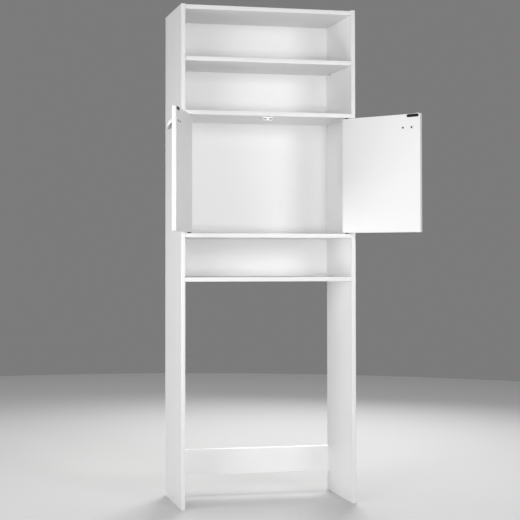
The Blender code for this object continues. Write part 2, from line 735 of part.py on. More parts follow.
def make_bushes(name, hinge):
    """Flanged bushes in the door's ends. Their flanges carry the door on
    the board below it and keep its end gaps."""
    bore = PIVOT_PIN_RADIUS + FIT_GAP
    bore_end = -PIN_IN_DOOR - FIT_GAP
    flange = DOOR_END_GAP - FIT_GAP
    profile = [(0, bore_end), (bore, bore_end), (bore, flange),
               (FLANGE_RADIUS - FLANGE_EASE, flange),
               (FLANGE_RADIUS, flange - FLANGE_EASE),
               (FLANGE_RADIUS, FIT_GAP), (BUSH_RADIUS, FIT_GAP),
               (BUSH_RADIUS, -BUSH_LENGTH), (0, -BUSH_LENGTH)]
    places = {f"{name}_{level}_pivot_bush": ((0, 0, end * DOOR_HALF), end * UP)
              for level, end in LEVELS}
    new_copies(turned_mesh("pivot_bush", profile, FINE_SIDES), places,
               BLACK_PLASTIC, hinge)


def make_pins(name, side, root):
    """The steel pins that stand in the boards over and under a door."""
    length = PIN_IN_SHELF + DOOR_END_GAP + PIN_IN_DOOR
    tip = PIVOT_PIN_RADIUS - PIN_TIP
    profile = [(0, length), (tip, length), (PIVOT_PIN_RADIUS, length - PIN_TIP),
               (PIVOT_PIN_RADIUS, PIN_TIP), (tip, 0), (0, 0)]
    lower = DOOR_FLOOR - PIN_IN_SHELF
    upper = CEILING_UNDERSIDE + PIN_IN_SHELF
    places = {f"{name}_{level}_pivot_pin":
              ((side * PIVOT_X, PIVOT_FROM_FRONT, z), -end * UP)
              for (level, end), z in zip(LEVELS, (lower, upper))}
    new_copies(turned_mesh("pivot_pin", profile, FINE_SIDES), places,
               BRIGHT_STEEL, root)


# Pulls

def pull_middle(side):
    return -side * (DOOR_FREE_EDGE - PULL_FROM_EDGE)


def pull_screw_places(side):
    return [pull_middle(side) + end * PULL_SCREW_SPACING / 2 for end in ENDS]


def rounded_shape(inset):
    """A rounded box about the middle of the pull's open edge, set in from
    its outer form: a unit sphere with each coordinate's share of the way
    raised to the power 2 / PULL_SQUARENESS."""
    reach = (PULL_WIDTH / 2 - inset, PULL_DEPTH - inset, PULL_HEIGHT - inset)
    power = 2 / PULL_SQUARENESS
    bm = bmesh.new()
    bmesh.ops.create_uvsphere(bm, u_segments=PULL_SEGMENTS,
                              v_segments=PULL_RINGS, radius=1)
    for vert in bm.verts:
        vert.co = [length * math.copysign(abs(share) ** power, share)
                   for length, share in zip(reach, vert.co)]
    return bm


def make_pull(name, side, hinge):
    """A moulded cup pull, open below and towards the door, with two screw
    bosses that stand on the inside of its shell. Its rim slants from the
    lip, which is lowest, up to the door."""
    bm = rounded_shape(0)
    lip = Vector((0, -PULL_DEPTH, 0))
    below = Vector((0, PULL_RIM_RISE, -PULL_DEPTH)).normalized()
    for point, outward in ((Vector(), REARWARD), (lip, below)):
        split = bmesh.ops.bisect_plane(
            bm, geom=bm.verts[:] + bm.edges[:] + bm.faces[:], dist=WELD,
            plane_co=point, plane_no=outward, clear_outer=True)
        rim = [item for item in split["geom_cut"]
               if isinstance(item, bmesh.types.BMEdge)]
        bmesh.ops.edgeloop_fill(bm, edges=rim)
    pull = new_part(f"{name}_pull", bake(bm, "pull"), WHITE_PLASTIC, hinge,
                    (pull_middle(side), DOOR_OUTER_FACE - FIT_GAP, PULL_Z))
    combine(pull, "hollow", bake(rounded_shape(PULL_WALL), "hollow"))
    boss_z = PULL_HEIGHT - PULL_SCREW_DROP
    spots = [end * PULL_SCREW_SPACING / 2 for end in ENDS]
    bm = bmesh.new()
    for spot in spots:
        add_rod(bm, BOSS_RADIUS, (spot, 0, boss_z), (spot, -PULL_DEPTH, boss_z),
                MEDIUM_SIDES)
    bosses = combine(pull, "bosses", bake(bm, "bosses"), "UNION")
    combine(bosses, "boss_ends", bake(rounded_shape(PULL_WALL / 2), "ends"),
            "INTERSECT")
    drill(pull, "pilot_holes",
          [(SCREW_RADIUS, (spot, CUT_OVERRUN, boss_z),
            (spot, -SCREW_IN_BOSS - FIT_GAP, boss_z)) for spot in spots])
    smooth(pull)

    screw = screw_mesh("pull_screw", BOARD + 2 * FIT_GAP + SCREW_IN_BOSS)
    seat = DOOR_INNER_FACE + FIT_GAP
    places = {f"{name}_pull_screw_{i}": ((x, seat, PULL_SCREW_Z), REARWARD)
              for i, x in enumerate(pull_screw_places(side), 1)}
    new_copies(screw, places, BRIGHT_STEEL, hinge)


# Magnetic catch

def plate_middle(side):
    return -side * (DOOR_FREE_EDGE - PLATE_FROM_EDGE - PLATE_LENGTH / 2)


def plate_screw_places(side):
    return [plate_middle(side) + end * PLATE_SCREW_SPACING / 2 for end in ENDS]


def countersink(obj, places, face, inward):
    """Screw holes with countersunk mouths on a face of a thin piece."""
    sides = COARSE_SIDES
    widen = 1 / math.cos(math.pi / sides)
    bm = bmesh.new()
    through = SMALL_SCREW_LENGTH
    shank = (SMALL_SCREW_RADIUS + FIT_GAP) * widen
    slope = ((SMALL_SCREW_HEAD_RADIUS - SMALL_SCREW_RADIUS)
             / SMALL_SCREW_HEAD)
    mouth = (SMALL_SCREW_HEAD_RADIUS + FIT_GAP) * widen
    for place in places:
        top = Vector(place) + inward * face
        add_rod(bm, mouth + slope * CUT_OVERRUN, top - inward * CUT_OVERRUN,
                top + inward * SMALL_SCREW_HEAD, sides, shank)
    combine(obj, "countersinks", bake(bm, "countersinks"))
    bm = bmesh.new()
    for place in places:
        top = Vector(place) + inward * face
        add_rod(bm, shank, top, top + inward * through, sides)
    combine(obj, "screw_holes", bake(bm, "screw_holes"))


def make_counter_plate(name, side, hinge):
    """The steel plate that the magnets hold, screwed to the door."""
    mesh = stadium_mesh("plate", PLATE_LENGTH, PLATE_HEIGHT, PLATE_THICKNESS)
    mesh.transform(Matrix.Rotation(math.pi / 2, 4, "X"))
    plate = new_part(f"{name}_counter_plate", mesh, BLACK_STEEL, hinge,
                     (plate_middle(side), PLATE_SEAT + PLATE_THICKNESS / 2,
                      PLATE_Z))
    spots = [(end * PLATE_SCREW_SPACING / 2, 0, 0) for end in ENDS]
    countersink(plate, spots, -PLATE_THICKNESS / 2, -REARWARD)
    face = PLATE_SEAT + PLATE_THICKNESS
    places = {f"{name}_counter_plate_screw_{i}": ((x, face, PLATE_Z), REARWARD)
              for i, x in enumerate(plate_screw_places(side), 1)}
    new_copies(flat_screw_mesh("plate_screw"), places, BLACK_STEEL, hinge)


def make_catch(root):
    """The double catch under the middle of the compartment's ceiling: a
    housing with two pockets, each with a magnet between two pole plates."""
    half = CATCH_WIDTH / 2
    bottom = CATCH_TOP - CATCH_HEIGHT
    rear = CATCH_FRONT + CATCH_DEPTH
    housing = new_board("catch_housing", (-half, CATCH_FRONT, bottom),
                        (half, rear, CATCH_TOP), root, WHITE_PLASTIC,
                        CATCH_EASE)
    ears = stadium_mesh("ears", CATCH_WIDTH + 2 * EAR_LENGTH, EAR_DEPTH,
                        EAR_THICKNESS)
    ears.transform(Matrix.Translation((0, CATCH_MIDDLE,
                                       CATCH_TOP - EAR_THICKNESS / 2)))
    combine(housing, "ears", ears, "UNION")
    near = CATCH_MIDDLE_WALL / 2
    far = half - CATCH_WALL
    low = bottom + CATCH_WALL
    high = CATCH_TOP - CATCH_ROOF
    deep = CATCH_FRONT + MAGNET_DEPTH
    bm = bmesh.new()
    for side in ENDS:
        add_box(bm, (side * near, CATCH_FRONT - CUT_OVERRUN, low),
                (side * far, deep + FIT_GAP, high))
    combine(housing, "pockets", bake(bm, "pockets"))
    spots = [(end * CATCH_SCREW_X, CATCH_MIDDLE, CATCH_TOP) for end in ENDS]
    countersink(housing, spots, -EAR_THICKNESS, UP)

    step = POLE_THICKNESS + FIT_GAP
    screws = {}
    for name, side in SIDES:
        left = side * (near + FIT_GAP)
        right = side * (far - FIT_GAP)
        bm = bmesh.new()
        add_box(bm, (left, CATCH_FRONT, low + FIT_GAP + step),
                (right, deep, high - FIT_GAP - step))
        new_part(f"{name}_catch_magnet", bake(bm, "magnet"), DARK_FERRITE,
                 root)
        for level, z in (("lower", low + FIT_GAP), ("upper", high - step)):
            bm = bmesh.new()
            add_box(bm, (left, POLE_FRONT, z),
                    (right, deep, z + POLE_THICKNESS))
            new_part(f"{name}_{level}_pole_plate", bake(bm, "pole_plate"),
                     BRIGHT_STEEL, root)
        screws[f"{name}_catch_screw"] = (
            (side * CATCH_SCREW_X, CATCH_MIDDLE, CATCH_TOP - EAR_THICKNESS),
            DOWN)
    new_copies(flat_screw_mesh("catch_screw"), screws, BRIGHT_STEEL, root)


# Wall brackets

def bracket_screw_places():
    """The brackets' screws in the top panel, as (x, y)."""
    y = CABINET_DEPTH - BRACKET_LEG + BRACKET_SCREW_INSET
    return [(side * BRACKET_FROM_MIDDLE + end * BRACKET_SCREW_SPACING / 2, y)
            for side in ENDS for end in ENDS]


def make_brackets(root):
    """Steel angles on the top, flush with the sides' rear edges, that tie
    the tall cabinet to the wall."""
    inner_bend = BRACKET_BEND - BRACKET_STEEL
    centre = (BRACKET_BEND, BRACKET_BEND)
    outline = ([(BRACKET_LEG, BRACKET_STEEL), (BRACKET_LEG, 0)]
               + arc(centre, BRACKET_BEND, 3, 2, BEND_STEPS)
               + [(0, BRACKET_RISE), (BRACKET_STEEL, BRACKET_RISE)]
               + arc(centre, inner_bend, 2, 3, BEND_STEPS))
    axes = Matrix(((0, -1, 0), (0, 0, 1), (-1, 0, 0))).transposed()
    seat = TOP_SURFACE + FIT_GAP
    for name, side in SIDES:
        mesh = extruded_mesh("bracket", outline, BRACKET_WIDTH)
        mesh.transform(axes.to_4x4())
        middle = side * BRACKET_FROM_MIDDLE
        bracket = new_part(f"{name}_wall_bracket", mesh, ZINC, root,
                           (middle, CABINET_DEPTH, seat))
        spots = [(x - middle, y - CABINET_DEPTH, BRACKET_STEEL)
                 for x, y in bracket_screw_places() if x * side > 0]
        countersink(bracket, spots, 0, DOWN)
        height = BRACKET_RISE - WALL_HOLE_INSET
        drill(bracket, "wall_hole",
              [(WALL_HOLE_RADIUS, (0, -BRACKET_STEEL - CUT_OVERRUN, height),
                (0, CUT_OVERRUN, height))], MEDIUM_SIDES)
    face = seat + BRACKET_STEEL
    names = [f"{name}_wall_bracket_screw_{i}" for name, side in SIDES
             for i in (1, 2)]
    places = {name: ((x, y, face), UP)
              for name, (x, y) in zip(names, bracket_screw_places())}
    new_copies(flat_screw_mesh("bracket_screw"), places, BRIGHT_STEEL, root)


def centre_on_footprint(root):
    """Moves the whole so that the middle of its footprint, with the doors
    open as they stand, is the origin."""
    bpy.context.view_layer.update()
    graph = bpy.context.evaluated_depsgraph_get()
    low = [math.inf, math.inf]
    high = [-math.inf, -math.inf]
    for part in PARTS.objects:
        if part.type != "MESH":
            continue
        shape = part.evaluated_get(graph).to_mesh()
        for vert in shape.vertices:
            place = part.matrix_world @ vert.co
            for axis in range(2):
                low[axis] = min(low[axis], place[axis])
                high[axis] = max(high[axis], place[axis])
    for axis in range(2):
        root.location[axis] = -(low[axis] + high[axis]) / 2


def main():
    root = new_empty("cabinet")
    for name, side in SIDES:
        make_side(name, side, root)
    make_shelves(root)
    make_loose_shelf(root)
    make_back(root)
    make_rail(root)
    make_dowels(root)
    make_catch(root)
    make_brackets(root)
    for (name, side), angle in zip(SIDES, (LEFT_DOOR_OPEN, RIGHT_DOOR_OPEN)):
        hinge = new_empty(f"{name}_door_hinge", root,
                          (side * PIVOT_X, PIVOT_FROM_FRONT, DOOR_MIDDLE),
                          side * angle)
        make_door(name, side, hinge)
        make_bushes(name, hinge)
        make_pins(name, side, root)
        make_pull(name, side, hinge)
        make_counter_plate(name, side, hinge)
    centre_on_footprint(root)


main()
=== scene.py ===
"""Looks of a washing machine cabinet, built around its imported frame.

Lengths are in metres, +Z is up and +Y runs into the cabinet. The fixed pieces
ride on the body "cabinet", and each door's fittings ride on its own leaf.
"""

import json
import math

import bmesh
import bpy
import numpy as np
from mathutils import Matrix, Vector

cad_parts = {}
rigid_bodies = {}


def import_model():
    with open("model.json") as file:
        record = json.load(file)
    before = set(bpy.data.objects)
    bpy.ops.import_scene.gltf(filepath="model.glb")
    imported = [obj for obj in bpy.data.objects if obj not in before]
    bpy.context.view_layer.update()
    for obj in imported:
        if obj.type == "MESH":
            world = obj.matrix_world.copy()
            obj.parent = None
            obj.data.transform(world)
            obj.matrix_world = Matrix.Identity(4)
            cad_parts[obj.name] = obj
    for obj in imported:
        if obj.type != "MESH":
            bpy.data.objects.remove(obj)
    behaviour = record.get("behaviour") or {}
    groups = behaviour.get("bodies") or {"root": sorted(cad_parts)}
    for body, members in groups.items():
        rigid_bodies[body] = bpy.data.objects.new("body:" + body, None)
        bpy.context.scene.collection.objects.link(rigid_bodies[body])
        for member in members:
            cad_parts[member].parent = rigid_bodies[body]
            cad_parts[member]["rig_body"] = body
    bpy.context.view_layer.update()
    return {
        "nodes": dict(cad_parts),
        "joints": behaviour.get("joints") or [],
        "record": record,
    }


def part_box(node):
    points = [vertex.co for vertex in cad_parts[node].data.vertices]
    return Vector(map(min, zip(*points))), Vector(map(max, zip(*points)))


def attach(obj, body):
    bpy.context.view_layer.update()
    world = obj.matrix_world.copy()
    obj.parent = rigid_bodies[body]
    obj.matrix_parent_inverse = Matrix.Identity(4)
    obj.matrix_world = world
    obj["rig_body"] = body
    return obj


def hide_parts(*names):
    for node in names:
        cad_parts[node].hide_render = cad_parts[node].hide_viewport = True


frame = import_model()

bl_info = {
    "name": "Washing Machine Cabinet",
    "version": (1, 0, 0),
    "blender": (4, 5, 0),
    "location": "View3D > Sidebar > Cabinet",
    "description": "Dresses a tall white cabinet with shelves and two doors",
    "category": "Object",
}

MM = 0.001

CABINET = "cabinet"
SIDES = {"left": -1, "right": 1}
LEVELS = {"lower": -1, "upper": 1}
ENDS = (-1, 1)
FIXED_SHELVES = ("top_panel", "door_compartment_ceiling", "door_compartment_floor",
                 "machine_bay_ceiling")
X, Y, Z = 0, 1, 2

# Small steps of shapes and masks are counted in hairs. The fit gap is how far
# the frame's cam locks lie under their board's face, and what a shelf's band
# and a pin's peg leave to the wall beside them.
HAIR = 0.1 * MM
FIT_GAP = 0.3 * MM
FINE_SIDES = 48
CORNER_STEPS = 6
JOIN_WITHIN = 0.001 * MM
SHARP_ANGLE = math.radians(32)


# Places in the frame


def node_points(node):
    """A node's corners at rest, each once, as an array with a row for each."""
    mesh = frame["nodes"][node].data
    points = np.zeros(len(mesh.vertices) * 3)
    mesh.vertices.foreach_get("co", points)
    return np.unique(points.reshape(-1, 3).round(7), axis=0)


def box_of(node):
    """A node's lowest and highest corners at rest, as arrays."""
    low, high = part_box(node)
    return np.array(low), np.array(high)


def groups_of(points, reach):
    """The middles of groups of points that lie within reach of each other."""
    apart = np.linalg.norm(points[:, None] - points[None], axis=-1)
    near = (apart < reach).astype(float)
    middles = near @ points / near.sum(1, keepdims=True)
    return np.unique(middles.round(5), axis=0)


class Place:
    """A frame of its own for some pieces: an origin and a turn about Z."""

    def __init__(self, origin=(0, 0, 0), angle=0):
        cosine, sine = math.cos(angle), math.sin(angle)
        self.origin = np.array(origin, float)
        self.axes = np.array([[cosine, sine, 0], [-sine, cosine, 0], [0, 0, 1]])

    def out(self, points):
        """Points of this frame, in the whole object's frame."""
        return np.asarray(points) @ self.axes + self.origin

    def box(self, node):
        """A node's lowest and highest corners in this frame."""
        points = (node_points(node) - self.origin) @ self.axes.T
        return points.min(0), points.max(0)


def door_place(name):
    """A door's own frame: its origin is on the hinge axis and its axes lie
    along the closed door, whose inner face looks along +Y."""
    joint = next(j for j in frame["joints"] if j["name"] == f"{name}_door_hinge")
    return Place(joint["pos_m"], SIDES[name] * math.radians(-joint["range_deg"][0]))


CARCASS = Place()
DOORS = {name: door_place(name) for name in SIDES}
LEAVES = {name: f"{name}_door_leaf" for name in SIDES}

LEFT_LOW, LEFT_HIGH = box_of("left_side_panel")
RIGHT_LOW, RIGHT_HIGH = box_of("right_side_panel")
BACK_LOW, BACK_HIGH = box_of("back_board")
BOARD = LEFT_HIGH[X] - LEFT_LOW[X]
MIDDLE_X = (LEFT_LOW[X] + RIGHT_HIGH[X]) / 2
INNER_HALF = RIGHT_LOW[X] - MIDDLE_X
REAR_Y = LEFT_HIGH[Y]
SHELF_REAR_Y = box_of("loose_shelf")[1][Y]
REBATE_HALF = max(BACK_HIGH[X] - MIDDLE_X, MIDDLE_X - BACK_LOW[X])


# Settings: the sizes and colours that a user may change


def length(text, note, value):
    return bpy.props.FloatProperty(name=text, description=note, default=value, min=0,
                                   unit="LENGTH", precision=5)


def colour(text, note, value):
    return bpy.props.FloatVectorProperty(name=text, description=note, subtype="COLOR",
                                         size=4, min=0, max=1, default=(*value, 1))


def exponent(text, note, value):
    return bpy.props.FloatProperty(name=text, description=note, default=value, min=1)


def fraction(text, note, value):
    return bpy.props.FloatProperty(name=text, description=note, default=value, min=0, max=1,
                                   subtype="FACTOR")


def wattage(text, note, value):
    return bpy.props.FloatProperty(name=text, description=note, default=value, min=0,
                                   unit="POWER")


class CabinetBandSettings(bpy.types.PropertyGroup):
    """The edge bands"""
    thickness: length("Thickness", "How far a band stands out of a board's edge", 0.22 * MM)
    lap: length("Lap", "How far a band stands out of a board's faces", 0.06 * MM)
    radius: length("Corner radius", "Rounding of a band's long corners", 1.1 * MM)
    reach: length("Reach", "How far a band runs back over a board's faces", 1.5 * MM)


class CabinetPullSettings(bpy.types.PropertyGroup):
    """The cup pulls"""
    width: length("Width", "Full width of the rounded box that a pull is cut from", 80 * MM)
    wall: length("Wall", "Thickness of a pull's shell", 2.4 * MM)
    rise: length("Rim rise", "How far the rim climbs from the lip to the door", 25 * MM)
    squareness: exponent("Squareness", "2 is an ellipsoid and more is boxier", 2.7)
    boss_radius: length("Boss radius", "Radius of the two screw bosses", 3.8 * MM)


class CabinetHeadSettings(bpy.types.PropertyGroup):
    """The heads of screws, cam locks and nails"""
    pan_height: length("Pan head", "Height of the pull screws' heads", 2 * MM)
    pan_shank: length("Pan shank", "Radius of the pull screws' shanks", 1.75 * MM)
    flat_height: length("Flat head", "Height of the countersunk heads", 1.1 * MM)
    flat_shank: length("Flat shank", "Radius of the countersunk screws' shanks", 1.4 * MM)
    recess_share: fraction("Recess", "Reach of a cross recess, of the head's radius", 0.6)
    cam_radius: length("Cam radius", "Radius of a cam lock's face", 7.9 * MM)
    cam_proud: length("Cam lip", "How far a cam's face stands out of its board", 0.1 * MM)
    nail_radius: length("Nail radius", "Radius of a nail's head", 1.95 * MM)
    nail_height: length("Nail height", "Height of a nail's head", 0.95 * MM)


class CabinetFinishSettings(bpy.types.PropertyGroup):
    """The colours of the finishes"""
    melamine: colour("Melamine", "The boards' satin facing", (0.82, 0.82, 0.82))
    # The doors' facing is the carcass's white melamine in a darker tone: painted shade.
    door: colour("Door melamine", "The doors' satin facing", (0.7, 0.7, 0.7))
    band: colour("Edge band", "The boards' edge bands", (0.68, 0.68, 0.68))
    hardboard: colour("Hardboard", "The back board's white face", (0.79, 0.79, 0.79))
    raw_hardboard: colour("Raw hardboard", "The back board's bare rear", (0.33, 0.21, 0.12))
    raw_board: colour("Raw board", "Particle board at the bare edges", (0.56, 0.43, 0.28))
    plastic: colour("White plastic", "The pulls and the catch", (0.84, 0.84, 0.83))
    steel: colour("Steel", "Screws and pins", (0.4, 0.4, 0.41))
    # Screw steel is steel darkened far below its own tone: painted shade for the screws
    # that sit in shadow.
    screw_steel: colour("Screw steel", "The duller screws in plastic", (0.06, 0.06, 0.062))
    satin_steel: colour("Satin steel", "The lighter shelf pins", (0.72, 0.72, 0.72))
    zinc: colour("Zinc", "Brackets and cam locks", (0.55, 0.56, 0.58))


class CabinetStageSettings(bpy.types.PropertyGroup):
    """The floor and the lights"""
    floor: colour("Floor", "The pale floor", (0.6, 0.6, 0.6))
    room: colour("Room", "The even light all round", (0.2, 0.2, 0.2))
    key: wattage("Key", "Power of the large softbox at the left", 10.8)
    front: wattage("Front", "Power of the low softbox in front", 15)
    fill: wattage("Fill", "Power of the high softbox at the front right", 8.5)
    side: wattage("Side", "Power of the low softbox at the far left", 7.7)
    back: wattage("Back", "Power of the softbox behind, on the right", 52)
    top: wattage("Top", "Power of the wide softbox overhead", 172)


SETTINGS = {"bands": CabinetBandSettings, "pulls": CabinetPullSettings,
            "heads": CabinetHeadSettings, "finish": CabinetFinishSettings,
            "stage": CabinetStageSettings}


def settings(group):
    """One of the scene's groups of settings."""
    return getattr(bpy.context.scene, f"cabinet_{group}")


# Surfaces: a surface is a pair of points and four-sided faces


def grid_faces(rows, columns, close_rows=False):
    """Four-sided faces of a grid of points, numbered row by row. Its columns
    are joined round, and with close_rows its rows are too."""
    row = np.arange(rows if close_rows else rows - 1)
    row, column = np.meshgrid(row, np.arange(columns), indexing="ij")
    next_row, next_column = (row + 1) % rows, (column + 1) % columns
    corners = (row * columns + column, row * columns + next_column,
               next_row * columns + next_column, next_row * columns + column)
    return np.stack(corners, -1).reshape(-1, 4)


def open_grid_faces(rows, columns):
    """Faces of a grid whose rows are joined round and whose columns aren't."""
    faces = grid_faces(rows, columns, close_rows=True).reshape(rows, columns, 4)
    return faces[:, :-1].reshape(-1, 4)


def join_and_turn_out(mesh):
    """Joins coincident points, which closes seams and poles, and turns the
    faces outwards."""
    work = bmesh.new()
    work.from_mesh(mesh)
    bmesh.ops.remove_doubles(work, verts=work.verts, dist=JOIN_WITHIN)
    bmesh.ops.recalc_face_normals(work, faces=work.faces)
    work.to_mesh(mesh)
    work.free()
    mesh.shade_smooth()
    mesh.set_sharp_from_angle(angle=SHARP_ANGLE)


def new_mesh(name, surfaces, uv=None):
    """One mesh of some surfaces. Where a UV map is given, it has a row for
    each point."""
    counts = [len(points) for points, faces in surfaces]
    starts = np.cumsum([0, *counts[:-1]])
    points = np.concatenate([points for points, faces in surfaces])
    faces = np.concatenate([faces + start for (_, faces), start in zip(surfaces, starts)])
    mesh = bpy.data.meshes.new(name)
    mesh.from_pydata(points.tolist(), [], faces.tolist())
    if uv is not None:
        layer = mesh.uv_layers.new(name="along_across")
        layer.data.foreach_set("uv", uv[faces.ravel()].astype(np.float32).ravel())
    join_and_turn_out(mesh)
    return mesh


def new_piece(name, mesh, slot, body, replaced=(), finish=None):
    """A piece that rides on a body, with its slot's finish or another."""
    mesh.materials.append(finish_of(finish or slot))
    piece = bpy.data.objects.new(name, mesh)
    bpy.context.scene.collection.objects.link(piece)
    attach(piece, body)
    if replaced:
        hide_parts(*replaced)


def refine(node, kind, surface, slot, body, finish=None):
    """Replaces a node by a finer surface of a kind, which its name ends with."""
    name = f"{node}_{kind}"
    new_piece(name, new_mesh(name, [surface]), slot, body, (node,), finish)


def arc(centre, radius, start, end, steps=CORNER_STEPS):
    """Points on an arc, its angles in quarter turns: the centre plus the radius
    times the angle's cosine and sine."""
    angles = np.linspace(start, end, steps + 1) * math.pi / 2
    return np.stack([centre[0] + radius * np.cos(angles),
                     centre[1] + radius * np.sin(angles)], -1)


def turned(profile, sides=FINE_SIDES):
    """Rows of (radius, height) turned about Z: x and y are the radius times
    the turn's cosine and sine, and z is the height."""
    profile = np.asarray(profile, float)
    turn = np.linspace(0, 2 * math.pi, sides, endpoint=False)
    radius, height = profile[:, :1], profile[:, 1:]
    points = np.stack([radius * np.cos(turn), radius * np.sin(turn),
                       height + 0 * turn], -1).reshape(-1, 3)
    return points, grid_faces(len(profile), sides)


def aimed(surface, seat, axis, sign):
    """Turns a surface so that its +Z runs along an axis, and seats its origin."""
    points, faces = surface
    turned_points = np.empty_like(points)
    turned_points[:, axis] = sign * points[:, Z]
    turned_points[:, (axis + 1) % 3] = points[:, X]
    turned_points[:, (axis + 2) % 3] = sign * points[:, Y]
    return turned_points + seat, faces


def placed(place, surface):
    """A surface of a frame of its own, in the whole object's frame."""
    points, faces = surface
    return place.out(points), faces


# Shader nodes


def shade(base, factor):
    """A colour made lighter or darker."""
    return (*(min(1.0, part * factor) for part in tuple(base)[:3]), 1)


class Wire:
    """A shader socket. Arithmetic on it adds Math nodes to its material."""

    def __init__(self, finish, socket):
        self.finish = finish
        self.socket = socket

    def math(self, operation, first, second):
        return self.finish.node("ShaderNodeMath", {"operation": operation},
                                {0: first, 1: second})

    def __add__(self, other):
        return self.math("ADD", self, other)

    def __sub__(self, other):
        return self.math("SUBTRACT", self, other)

    def __rsub__(self, other):
        return self.math("SUBTRACT", other, self)

    def __mul__(self, other):
        return self.math("MULTIPLY", self, other)

    __radd__ = __add__
    __rmul__ = __mul__

    def __abs__(self):
        return self.math("ABSOLUTE", self, 0)

    def __or__(self, other):
        """The larger of two masks."""
        return self.math("MAXIMUM", self, other)


class Finish:
    """A material: its Principled shader and the nodes that feed it."""

    def __init__(self, name):
        self.material = bpy.data.materials.new(name)
        self.material.use_nodes = True
        self.tree = self.material.node_tree
        self.shader = self.tree.nodes["Principled BSDF"]

    def node(self, kind, setup=None, sockets=None, output=0):
        """Adds a node, makes its settings first, then fills its sockets with
        values or wires, and gives the wire of one of its outputs."""
        node = self.tree.nodes.new(kind)
        for name, value in (setup or {}).items():
            setattr(node, name, value)
        for name, value in (sockets or {}).items():
            self.fill(node.inputs[name], value)
        return Wire(self, node.outputs[output])

    def fill(self, socket, value):
        if isinstance(value, Wire):
            self.tree.links.new(value.socket, socket)
        else:
            socket.default_value = value

    def feed(self, sockets):
        """Fills the Principled shader's sockets and gives the material."""
        for name, value in sockets.items():
            self.fill(self.shader.inputs[name], value)
        return self.material

    def axes(self, output="Object"):
        """The coordinates' three parts, as wires."""
        place = self.node("ShaderNodeTexCoord", output=output)
        return [self.node("ShaderNodeSeparateXYZ", None, {0: place}, axis)
                for axis in (X, Y, Z)]

    def drawn(self, stretch):
        """Object coordinates, in which a stretch below 1 draws a pattern out
        along its axis."""
        place = self.node("ShaderNodeTexCoord", output="Object")
        return self.node("ShaderNodeMapping", None, {"Vector": place, "Scale": stretch})

    def noise(self, size, detail=2.0, roughness=0.5, stretch=(1, 1, 1)):
        """Noise from 0 to 1 whose features are about the given size."""
        return self.node("ShaderNodeTexNoise", None,
                         {"Vector": self.drawn(stretch), "Scale": 1 / size,
                          "Detail": detail, "Roughness": roughness})

    def flakes(self, size, stretch):
        """A tone from 0 to 1 for each flake of about the given size."""
        return self.node("ShaderNodeTexVoronoi", None,
                         {"Vector": self.drawn(stretch), "Scale": 1 / size}, "Color")

    def clouded(self, base, size, darker, lighter, detail=2.0):
        """A colour that wanders between a darker and a lighter tone of the base,
        in soft clouds of about the given size."""
        return self.mix(self.noise(size, detail), shade(base, darker), shade(base, lighter))

    def step(self, value, low, high):
        """0 below low, 1 above high and a smooth climb between them."""
        return self.node("ShaderNodeMapRange", {"interpolation_type": "SMOOTHSTEP"},
                         {"Value": value, "From Min": low, "From Max": high})

    def mix(self, mask, first, second):
        """The first colour where the mask is 0 and the second where it is 1."""
        return self.node("ShaderNodeMix", {"data_type": "RGBA"},
                         {0: mask, 6: first, 7: second}, 2)

    def bump(self, height, depth):
        """Bump of a height from 0 to 1, which stands for the given depth."""
        return self.node("ShaderNodeBump", None, {"Height": height, "Distance": depth})


# Finishes


# Stretches that draw a grain out along an axis, and the tones of small parts.
ALONG_X = (0.15, 1, 1)
ALONG_Z = (1, 1, 0.35)
BLACK_PLASTIC = (0.008, 0.008, 0.009, 1)
BLACK_LACQUER = (0.006, 0.006, 0.007, 1)
FERRITE_TONES = ((0.1, 0.1, 0.105, 1), (0.2, 0.2, 0.205, 1))
BEECH_TONES = ((0.62, 0.42, 0.25, 1), (0.42, 0.26, 0.14, 1))


def melamine(name, base, bare_edges):
    """Satin melamine with a fine pearl grain. A carcass board also shows its
    particle board in the rebate, at the rear edges and under the feet."""
    finish = Finish(name)
    grain = finish.noise(0.9 * MM, detail=3, roughness=0.6)
    smear = finish.noise(35 * MM, detail=3)
    tone = finish.clouded(base, 180 * MM, 0.975, 1.02, detail=3)
    rough = 0.34 + 0.1 * smear + 0.05 * grain
    if bare_edges:
        bare = bare_edge_mask(finish)
        tone = finish.mix(bare, tone, particle_board(finish))
        rough = rough + 0.45 * bare
    return finish.feed({"Base Color": tone, "Roughness": rough,
                        "Normal": finish.bump(grain, 0.012 * MM)})


def bare_edge_mask(finish):
    """1 where a carcass board has neither facing nor band: in the back board's
    rebate, at the rear edges and under the feet."""
    x, y, z = finish.axes()
    aside = abs(x - MIDDLE_X)
    rebate_end = REBATE_HALF + FIT_GAP
    in_side_panel = finish.step(aside, INNER_HALF, INNER_HALF + HAIR)
    over_back_board = finish.step(z, BACK_LOW[Z] - HAIR, BACK_LOW[Z])
    at_back_board = finish.step(y, SHELF_REAR_Y - 2 * HAIR, SHELF_REAR_Y - HAIR)
    rebate = (at_back_board * (in_side_panel | over_back_board)
              * (1 - finish.step(aside, rebate_end, rebate_end + HAIR)))
    rear = finish.step(y, REAR_Y - 5 * HAIR, REAR_Y - 4 * HAIR)
    foot = 1 - finish.step(z, 3 * HAIR, 4 * HAIR)
    return rebate | rear | foot


def particle_board(finish):
    """Pressed wood: flakes of every tone that lie along the board, and specks."""
    base = settings("finish").raw_board
    flakes = finish.flakes(1.5 * MM, ALONG_Z)
    specks = finish.step(finish.noise(0.9 * MM, roughness=0.7), 0.52, 0.7)
    wood = finish.mix(flakes, shade(base, 0.7), shade(base, 1.25))
    return finish.mix(0.5 * specks, wood, shade(base, 0.42))


